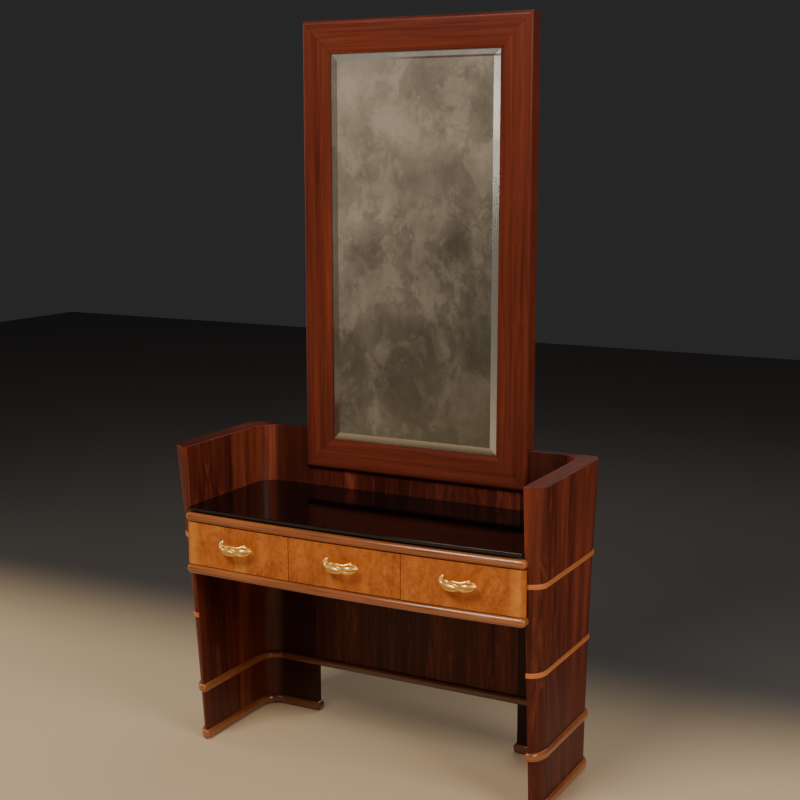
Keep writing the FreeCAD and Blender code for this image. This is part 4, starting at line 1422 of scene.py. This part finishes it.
@dataclass
class MirrorFrame:
    """Mitred frame, bevelled glass, backing and battens."""

    wood: bpy.types.Material
    silver: bpy.types.Material
    ply: bpy.types.Material
    batten_wood: bpy.types.Material
    steel: bpy.types.Material
    round_edge: float = 0.012
    sight_wide: float = 0.013
    sight_drop: float = 0.003
    rebate: float = 0.009
    rebate_deep: float = 0.006
    crown: float = 0.0006
    notch_gap: float = 0.0003
    inner_screws: float = 0.092

    def __post_init__(self) -> None:
        """Read the frame's sizes."""
        left, self.top_rail = Span.of("left_frame_stile"), Span.of("frame_top_rail")
        self.foot_rail = Span.of("frame_bottom_rail")
        self.low, self.high = left.low, left.high
        self.half = -left.low.x
        self.member = self.foot_rail.size.z
        self.front = left.low.y
        self.shallow = self.foot_rail.high.y
        self.gallery = Span.of("right_end_panel").high.z

    def profile(self, rear: float) -> list[tuple[float, float]]:
        """Cross-section of a member as (distance from its outer edge, y).

        Args:
            rear: The y of its rear face.

        Returns:
            The closed section.
        """
        wide, front, edge = self.member, self.front, self.round_edge
        section = [(0.0, rear), (0.0, front + edge)]
        section += [(edge - edge * math.cos(turn), front + edge - edge * math.sin(turn))
                    for turn in turns(0, 90, 8)[1:]]
        inner = wide - self.sight_wide
        flat = inner - edge
        section += [(edge + flat * k / 8, front - self.crown * math.sin(math.pi * k / 8))
                    for k in range(1, 9)]
        section += [(inner + self.sight_wide * k / 4, front + self.sight_drop * math.sin(turn) ** 1.5)
                    for k, turn in enumerate(turns(0, 90, 4)) if k]
        section += [(wide, front + self.rebate_deep), (wide - self.rebate, front + self.rebate_deep),
                    (wide - self.rebate, rear)]
        return section

    def member_mesh(self, name: str, start: Vector, way: Vector, inward: Vector, length: float,
                    stations: Sequence[tuple[float | None, float]], shift: float) -> bpy.types.Mesh:
        """Skin one mitred member.

        Args:
            name: The member's name.
            start: Outer corner at its start.
            way: Direction along it.
            inward: Direction from its outer edge to the glass.
            length: Length along the outer edge.
            stations: Cuts along it, as (distance or None for a mitre, rear y).
            shift: Where on the veneer it was cut.

        Returns:
            The mesh.
        """
        rings = []
        for number, (far, rear) in enumerate(stations):
            ring = []
            for across, depth in self.profile(rear):
                mitre = across if number == 0 else length - across
                run = mitre if far is None else far
                spot = start + way * run + inward * across
                ring.append(Vector((spot.x, depth, spot.z)))
            rings.append(ring)
        shape = Shape().loft(rings, shift=(shift, 0.0))
        girth = distances(rings[0], True)
        count = len(rings[0])
        for index in range(count * (len(rings) - 1)):
            near, far = girth[index % count], girth[index % count + 1]
            along = [(shape.points[corner] - start).dot(way) for corner in shape.faces[index]]
            shape.maps[index] = tuple(zip((near + shift, far + shift, far + shift, near + shift), along))
        return shape.mesh(name)

    def members(self) -> None:
        """Build stiles and rails."""
        tall, wide = self.high.z - self.low.z, 2 * self.half
        notch = self.gallery - self.low.z + self.notch_gap
        deep, shallow = self.high.y, self.shallow
        foot = [(None, shallow), (notch, shallow), (notch + self.notch_gap, deep), (None, deep)]
        left_foot = Vector((-self.half, 0, self.low.z))
        right_foot = Vector((self.half, 0, self.low.z))
        left_head = Vector((-self.half, 0, self.high.z))
        plans = [
            ("left_frame_stile", "left_stile", left_foot, UP, OUTWARD, tall, foot, 0.31),
            ("right_frame_stile", "right_stile", right_foot, UP, -OUTWARD, tall, foot, 0.77),
            ("frame_top_rail", "top_rail", left_head, OUTWARD, -UP, wide, [(None, deep)] * 2, 1.21),
            ("frame_bottom_rail", "foot_rail", left_foot, OUTWARD, UP, wide, [(None, shallow)] * 2,
             1.63)]
        for node, name, start, way, inward, length, stations, shift in plans:
            mesh = self.member_mesh(name + "_mesh", start, way, inward, length, stations, shift)
            place(name, mesh, [self.wood], CARCASS, "rosewood", [node], bevel=0.0010)

    def build(self) -> None:
        """Build and dress everything."""
        self.members()
        for node, finish, ease in (
                ("mirror_glass", self.silver, 0.0), ("backing_board", self.ply, 0.0),
                ("lower_mirror_batten", self.batten_wood, 0.0015),
                ("upper_mirror_batten", self.batten_wood, 0.0015)):
            dress(node, finish, ease)
        box = Span.of("mirror_screws")
        tree = Fasteners("mirror_fixing_screws", slotted_head(SCREW_RADIUS, 0.0022), self.steel)
        across = (box.low.x + SCREW_RADIUS, -self.inner_screws, self.inner_screws,
                  box.high.x - SCREW_RADIUS)
        spots = [Vector((x, box.high.y - SCREW_SINK, box.middle.z)) for x in across]
        mesh = tree.row("mirror_screw_heads_mesh", spots, REARWARD)
        place("mirror_screw_heads", mesh, [self.steel], CARCASS, "screw_steel", ["mirror_screws"])


# ------------------------------------------------------------------ drawers

def smooth_path(points: Sequence[Vector], steps: int) -> list[Vector]:
    """Carry a smooth curve through points.

    Args:
        points: The points in order.
        steps: Divisions between each two.

    Returns:
        Points along the curve.
    """
    ends = [points[0] * 2 - points[1], *points, points[-1] * 2 - points[-2]]
    curve = []
    for p0, p1, p2, p3 in zip(ends, ends[1:], ends[2:], ends[3:]):
        for step in range(steps):
            t = step / steps
            curve.append(0.5 * ((2 * p1) + (p2 - p0) * t + (2 * p0 - 5 * p1 + 4 * p2 - p3) * t ** 2
                                + (3 * p1 - p0 - 3 * p2 + p3) * t ** 3))
    curve.append(points[-1].copy())
    return curve


@dataclass(frozen=True)
class Strand:
    """One leaf of a cast handle: points as (across, up, out) and half widths, in millimetres."""

    points: tuple[tuple[float, float, float], ...]
    widths: tuple[float, ...]
    flat: float = 0.62


@dataclass
class TwistedHandle:
    """Cast handle of fluted leaves that cross at the middle and fork at the ends."""

    brass: bpy.types.Material
    post_half: float = 0.038
    post_radius: float = 0.0045
    voxel: float = 0.00062
    strands: tuple[Strand, ...] = (
        Strand(((-24, 2.0, 30), (-14, 6.5, 32.5), (-5, 9.6, 33.5), (8, 9.2, 34), (22, 9.4, 32.5),
                (33, 13.0, 28), (40.5, 18.0, 22)),
               (2.4, 3.4, 3.8, 3.4, 3.4, 3.4, 1.8)),
        Strand(((-40.5, 21.0, 15), (-43.5, 15.5, 18), (-46, 8, 20.5), (-44, 1, 23.5), (-36, -3.0, 27),
                (-22, -3.6, 32.5), (-8, -4.4, 34.5), (4, -5.6, 34), (13, -7.5, 31)),
               (2.0, 4.2, 5.2, 5.4, 5.4, 5.6, 5.0, 4.0, 2.2), 0.7),
        Strand(((-46, -2.0, 19), (-38, -9.0, 23), (-28, -12.6, 27), (-14, -13.6, 30), (0, -12.8, 31),
                (12, -11.0, 30)),
               (2.6, 4.4, 4.8, 4.8, 4.2, 3.0)),
        Strand(((10, 2.0, 30), (22, 1.0, 33.5), (34, 1.4, 33.5), (47, 2.0, 27), (60, 0.6, 17.5)),
               (3.2, 4.8, 5.6, 4.8, 2.2), 0.7),
        Strand(((20, 6.5, 27), (30, 9.0, 27), (40, 11.0, 25), (49, 8.6, 22), (57.0, 3.6, 18.5)),
               (3.0, 4.0, 4.2, 3.6, 2.4)),
        Strand(((6, -6.0, 31), (18, -9.8, 31.5), (30, -11.0, 29), (43, -9.0, 24.5), (53, -4.0, 20)),
               (3.0, 4.4, 4.4, 3.8, 2.4)),
        Strand(((-54, 1.5, 15), (-48, 4.0, 19), (-38, 5.6, 24), (-27, 6.2, 28), (-16, 2.0, 31)),
               (3.0, 4.8, 4.6, 4.0, 3.0)),
        Strand(((-16, 5.0, 31), (-2, 3.4, 33.6), (9, -1.0, 34.4), (18, -6.6, 33), (25, -10, 30)),
               (2.6, 3.6, 3.4, 3.0, 2.0)),
        Strand(((-44, 0, 19), (-28, 1, 25), (-10, 0, 29.5), (8, 0.5, 30.5), (24, 1.0, 28), (42, 1, 21)),
               (4.0, 6.0, 8.0, 8.0, 6.6, 4.6), 0.42),
    )

    def strand_rings(self, strand: Strand, steps: int = 7, sides: int = 18) -> list[Loop]:
        """Rings of one leaf.

        Args:
            strand: The leaf.
            steps: Divisions between its points.
            sides: Points round it.

        Returns:
            Its rings, closed to a small tip at both ends.
        """
        line = smooth_path([Vector((x, -out, z)) / 1000.0 for x, z, out in strand.points], steps)
        reach = smooth_path([Vector((width / 1000.0, 0, 0)) for width in strand.widths], steps)
        rings = []
        for number, spot in enumerate(line):
            before, after = line[max(number - 1, 0)], line[min(number + 1, len(line) - 1)]
            along = (after - before).normalized()
            side = along.cross(FORWARD).normalized()
            out = side.cross(along).normalized()
            width = reach[number].x
            if number in (0, len(line) - 1):
                width *= 0.35
            ring = []
            for k in range(sides):
                turn = math.tau * k / sides
                flute = 1.0 + 0.10 * math.cos(4 * turn)
                ring.append(spot + side * (width * math.cos(turn) * flute)
                            + out * (width * strand.flat * math.sin(turn) * flute))
            rings.append(ring)
        tips = [(rings[0], line[0], line[0] - line[1]), (rings[-1], line[-1], line[-1] - line[-2])]
        ends = []
        for ring, spot, way in tips:
            centre = spot + way.normalized() * (ring[0] - spot).length * 0.8
            ends.append([centre.lerp(point, 0.3) for point in ring])
        return [ends[0], *rings, ends[1]]

    def cast(self) -> bpy.types.Mesh:
        """Fuse the leaves and posts to one casting about the origin.

        Returns:
            The casting, its back on the plane y = 0.
        """
        shape = Shape()
        for strand in self.strands:
            shape.loft(self.strand_rings(strand))
        for sign in (-1, 1):
            profile = [(1.16, 0.0), (1.16, 0.0010), (1.05, 0.0020), (0.84, 0.0034), (0.74, 0.009),
                       (0.82, 0.016), (1.0, 0.0215)]
            rings = [[Vector((sign * self.post_half + spot.x, -spot.z, spot.y - 0.001)) for spot in ring]
                     for ring in turned([(r * self.post_radius, h) for r, h in profile], 20)]
            shape.loft(rings)
        mesh = shape.mesh("handle_blank", 60.0)
        holder = bpy.data.objects.new("handle_blank", mesh)
        bpy.context.scene.collection.objects.link(holder)
        remesh = holder.modifiers.new("cast", "REMESH")
        remesh.mode = "VOXEL"
        remesh.voxel_size = self.voxel
        remesh.use_smooth_shade = True
        soft = holder.modifiers.new("soft", "SMOOTH")
        soft.factor = 0.5
        soft.iterations = 3
        graph = bpy.context.evaluated_depsgraph_get()
        casting = bpy.data.meshes.new_from_object(holder.evaluated_get(graph), depsgraph=graph)
        bpy.data.objects.remove(holder)
        for polygon in casting.polygons:
            polygon.use_smooth = True
        return casting


@dataclass
class Drawers:
    """Three drawers with burl fronts and brass handles."""

    burl: bpy.types.Material
    inside: bpy.types.Material
    brass: bpy.types.Material
    steel: bpy.types.Material
    bow: float = 0.015
    end_radius: float = 0.014
    bar_flat: float = 0.012
    recess: float = 0.007

    def front_y(self, across: float) -> float:
        """Front face of the drawers.

        Args:
            across: Distance from the middle.

        Returns:
            Its y there.
        """
        bar = Span.of("top_front_moulding")
        return bar.low.y + self.recess + bow_sag(bar.high.x - self.bar_flat, self.bow, across)

    def front_plan(self, box: Span, sign: int, level: float) -> Loop:
        """Plan outline of a front, with the outer end of a side drawer rounded.

        Args:
            box: The front's box.
            sign: Which drawer, from the left.
            level: Height.

        Returns:
            The closed outline.
        """
        near, far, steps = box.low.x, box.high.x, 24
        start = near + (self.end_radius if sign < 0 else 0.0)
        stop = far - (self.end_radius if sign > 0 else 0.0)
        ring = [Vector((near, box.high.y, level))]
        if sign < 0:
            ring += self.round_end(start, -1, box, level)
        for step in range(steps + 1):
            x = start + (stop - start) * step / steps
            ring.append(Vector((x, self.front_y(x), level)))
        if sign > 0:
            ring += self.round_end(stop, 1, box, level)
        ring.append(Vector((far, box.high.y, level)))
        return ring

    def round_end(self, turn_x: float, sign: int, box: Span, level: float) -> Loop:
        """Rounded outer end of a side drawer front.

        Args:
            turn_x: Where the rounding starts.
            sign: 1 for the right end, -1 for the left.
            box: The front's box.
            level: Height.

        Returns:
            Its points from left to right.
        """
        front = self.front_y(turn_x)
        deep = box.high.y - 0.001 - front
        spots = [Vector((turn_x + sign * self.end_radius * math.sin(turn),
                         front + deep * (1 - math.cos(turn)), level)) for turn in turns(0, 90, 9)[1:]]
        return spots if sign > 0 else list(reversed(spots))

    def build(self) -> None:
        """Build and dress the three drawers."""
        casting = TwistedHandle(self.brass).cast()
        screws = Fasteners("handle_fixing_screws", slotted_head(SCREW_RADIUS, 0.0024), self.steel)
        for sign, name in SIDES.items():
            body = name + "_drawer"
            box = Span.of(name + "_drawer_front")
            rings = [self.front_plan(box, sign, level) for level in (box.low.z, box.high.z)]
            shape = Shape().loft(rings, Run.ROUND_THE_RING)
            place(name + "_burl_front", shape.mesh(name + "_front_mesh"), [self.burl], body,
                  "burl_veneer", [name + "_drawer_front"], bevel=0.0016)
            for part in ("_drawer_left_side", "_drawer_right_side", "_drawer_back", "_drawer_bottom"):
                dress(name + part, self.inside)
            grip = Span.of(name + "_handle")
            mesh = casting.copy()
            mesh.name = name + "_handle_mesh"
            seat = self.front_y(grip.middle.x) + 0.0004
            mesh.transform(Matrix.Translation(Vector((grip.middle.x, seat, grip.middle.z))))
            place(name + "_brass_handle", mesh, [self.brass], body, "cast_brass", [name + "_handle"])
            bolt = Span.of(name + "_handle_screws")
            spots = [Vector((x, bolt.high.y - SCREW_SINK, bolt.middle.z))
                     for x in (bolt.low.x + SCREW_RADIUS, bolt.high.x - SCREW_RADIUS)]
            heads = screws.row(name + "_screw_heads_mesh", spots, REARWARD)
            place(name + "_handle_screw_heads", heads, [self.steel], body, "screw_steel",
                  [name + "_handle_screws"])


# ------------------------------------------------------------------ studio

@dataclass(frozen=True)
class Lamp:
    """A soft rectangular light: its place and sides in metres, its power in watts."""

    name: str
    spot: tuple[float, float, float]
    size: tuple[float, float]
    power: float
    colour: Colour


LAMPS = (
    Lamp("key", (-0.9, -3.3, 4.8), (2.4, 1.6), 200.0, (1.0, 0.93, 0.85)),
    Lamp("right", (5.4, -2.0, 3.3), (2.6, 2.2), 185.0, (1.0, 0.92, 0.85)),
    Lamp("left", (-3.8, -0.1, 1.7), (1.2, 2.2), 24.0, (1.0, 0.94, 0.88)),
    Lamp("strip", (-0.93, -4.1, 1.2), (0.20, 2.5), 0.55, (1.0, 0.95, 0.88)),
    Lamp("upper_strip", (-0.93, -4.05, 2.05), (0.16, 0.8), 2.0, (1.0, 0.95, 0.88)),
    Lamp("top_strip", (-2.25, -4.1, 3.06), (1.5, 0.3), 0.55, (1.0, 0.96, 0.90)),
    Lamp("rear", (0.3, 3.2, 3.6), (2.6, 1.8), 32.0, (0.98, 0.97, 0.96)))
MIRROR_STRIPS = ("strip", "upper_strip")      # these show in the glass's right bevel


@dataclass
class Studio:
    """Floor, soft lights, surroundings and camera."""

    aim_shift: tuple[float, float, float] = (-0.0375, 0.2, -0.0335)
    turn: float = 27.87
    dip: float = 9.94
    distance: float = 4.216
    lens: float = 62.8
    floor_half: float = 9.0
    floor_colour: Colour = (0.70, 0.53, 0.33)
    world: Colour = (0.026, 0.026, 0.027)

    def floor(self) -> None:
        """Lay a pale floor, with painted shade far behind the table."""
        half, steps, level = self.floor_half, 12, -0.0006
        shape = Shape()
        edges = [-half + 2 * half * step / steps for step in range(steps + 1)]
        for y0, y1 in zip(edges, edges[1:]):
            for x0, x1 in zip(edges, edges[1:]):
                shape.face([Vector((x, y, level)) for x, y in ((x0, y0), (x1, y0), (x1, y1), (x0, y1))])
        mesh = shape.mesh("floor_mesh")
        if mesh.polygons[0].normal.z < 0:
            mesh.flip_normals()
        piece = bpy.data.objects.new("floor", mesh)
        mesh.materials.append(FloorWithPaintedShade("floor_painted_shade", self.floor_colour).build())
        bpy.context.scene.collection.objects.link(piece)
        piece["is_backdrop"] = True

    @staticmethod
    def light(lamp: Lamp, aim: Vector) -> None:
        """Hang one soft light.

        Args:
            lamp: The light.
            aim: What it points at.
        """
        data = bpy.data.lights.new(lamp.name, "AREA")
        data.shape = "RECTANGLE"
        data.size, data.size_y = lamp.size
        data.energy = lamp.power
        data.color = lamp.colour
        holder = bpy.data.objects.new(lamp.name, data)
        holder.location = Vector(lamp.spot)
        holder.rotation_euler = (aim - holder.location).to_track_quat("-Z", "Y").to_euler()
        bpy.context.scene.collection.objects.link(holder)

    def surroundings(self) -> None:
        """Set the soft light from all round."""
        world = bpy.data.worlds.new("studio")
        world.use_nodes = True
        back = world.node_tree.nodes["Background"]
        back.inputs["Color"].default_value = (*self.world, 1.0)
        back.inputs["Strength"].default_value = 1.0
        bpy.context.scene.world = world

    def camera(self, middle: Vector) -> None:
        """Stand the camera.

        Args:
            middle: The middle of the object.
        """
        data = bpy.data.cameras.new("camera")
        data.lens = self.lens
        data.sensor_width = 36.0
        camera = bpy.data.objects.new("camera", data)
        turn, dip = math.radians(self.turn), math.radians(self.dip)
        aim = middle + Vector(self.aim_shift)
        away = Vector((math.sin(turn) * math.cos(dip), -math.cos(turn) * math.cos(dip), math.sin(dip)))
        camera.location = aim + away * self.distance
        camera.rotation_euler = (aim - camera.location).to_track_quat("-Z", "Y").to_euler()
        bpy.context.scene.collection.objects.link(camera)
        bpy.context.scene.camera = camera

    def build(self, middle: Vector) -> None:
        """Set everything round the object.

        Args:
            middle: The middle of the object.
        """
        self.floor()
        self.surroundings()
        self.camera(middle)
        aim, strip_aim = middle + Vector((0, 0, -0.15)), Vector((-0.4, 0, 1.25))
        for lamp in LAMPS:
            self.light(lamp, strip_aim if lamp.name in MIRROR_STRIPS else aim)


# ------------------------------------------------------------------ the whole table

def main() -> None:
    """Build the table in order and report each piece."""
    logging.basicConfig(level=logging.INFO, format="%(name)s: %(message)s")
    cad_low, cad_high = (Vector(corner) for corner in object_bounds())
    middle = (cad_low + cad_high) * 0.5
    silver_box = Span.of("mirror_glass")
    rosewood = Rosewood("rosewood_veneer", ink=0.64, flare=0.5, contrast=1.15,
                        dark_from=Span.of("back_panel").low.y).build()
    frame_wood = Rosewood("rosewood_frame", leaf=0.31, warmth=-0.015, leaf_contrast=0.05, ink=0.22,
                          flare=0.12, contrast=0.75, film=-0.07).build()
    rosewood_back = Rosewood("rosewood_back", grain=Grain.ALONG_Z, warmth=-0.07, seed=0.9).build()
    inlay_wood = PolishedWood("orange_inlay_wood", (0.36, 0.100, 0.026), (0.72, 0.25, 0.070),
                              gloss=0.2).build()
    bead_wood = PolishedWood("reddish_bead_wood", (0.17, 0.042, 0.013), (0.46, 0.150, 0.045), gloss=0.8,
                             painted_knee_shade=True).build()
    burl = Burl("honey_burl").build()
    dark_board = PolishedWood("ebonised_board", (0.006, 0.005, 0.004), (0.022, 0.016, 0.013),
                              Grain.ALONG_X, 0.1, 0.3).build()
    case_wood = PolishedWood("case_wood", (0.10, 0.042, 0.016), (0.21, 0.10, 0.042), Grain.ALONG_X,
                             0.0, 0.5).build()
    drawer_wood = PolishedWood("drawer_wood", (0.28, 0.17, 0.085), (0.47, 0.32, 0.18), Grain.ALONG_Y,
                               0.0, 0.5).build()
    ply = PolishedWood("backing_ply", (0.20, 0.12, 0.06), (0.36, 0.24, 0.13), Grain.ALONG_Z,
                       0.0, 0.6).build()
    glass = BlackGlass("black_glass").build()
    silver = AgedMirror("aged_mirror", silver_box.high.x, silver_box.low.z, silver_box.high.z).build()
    brass = CastMetal("cast_brass", (1.0, 0.59, 0.155), (0.42, 0.19, 0.042), 0.33, 0.72).build()
    steel = CastMetal("screw_steel", (0.55, 0.53, 0.50), (0.22, 0.20, 0.18), 0.3).build()
    Shell(rosewood, inlay_wood, bead_wood).build()
    Top(rosewood_back, bead_wood, dark_board, case_wood, glass).build()
    MirrorFrame(frame_wood, silver, ply, case_wood, steel).build()
    Drawers(burl, drawer_wood, brass, steel).build()
    Studio().build(middle)


if __name__ == "__main__":
    main()
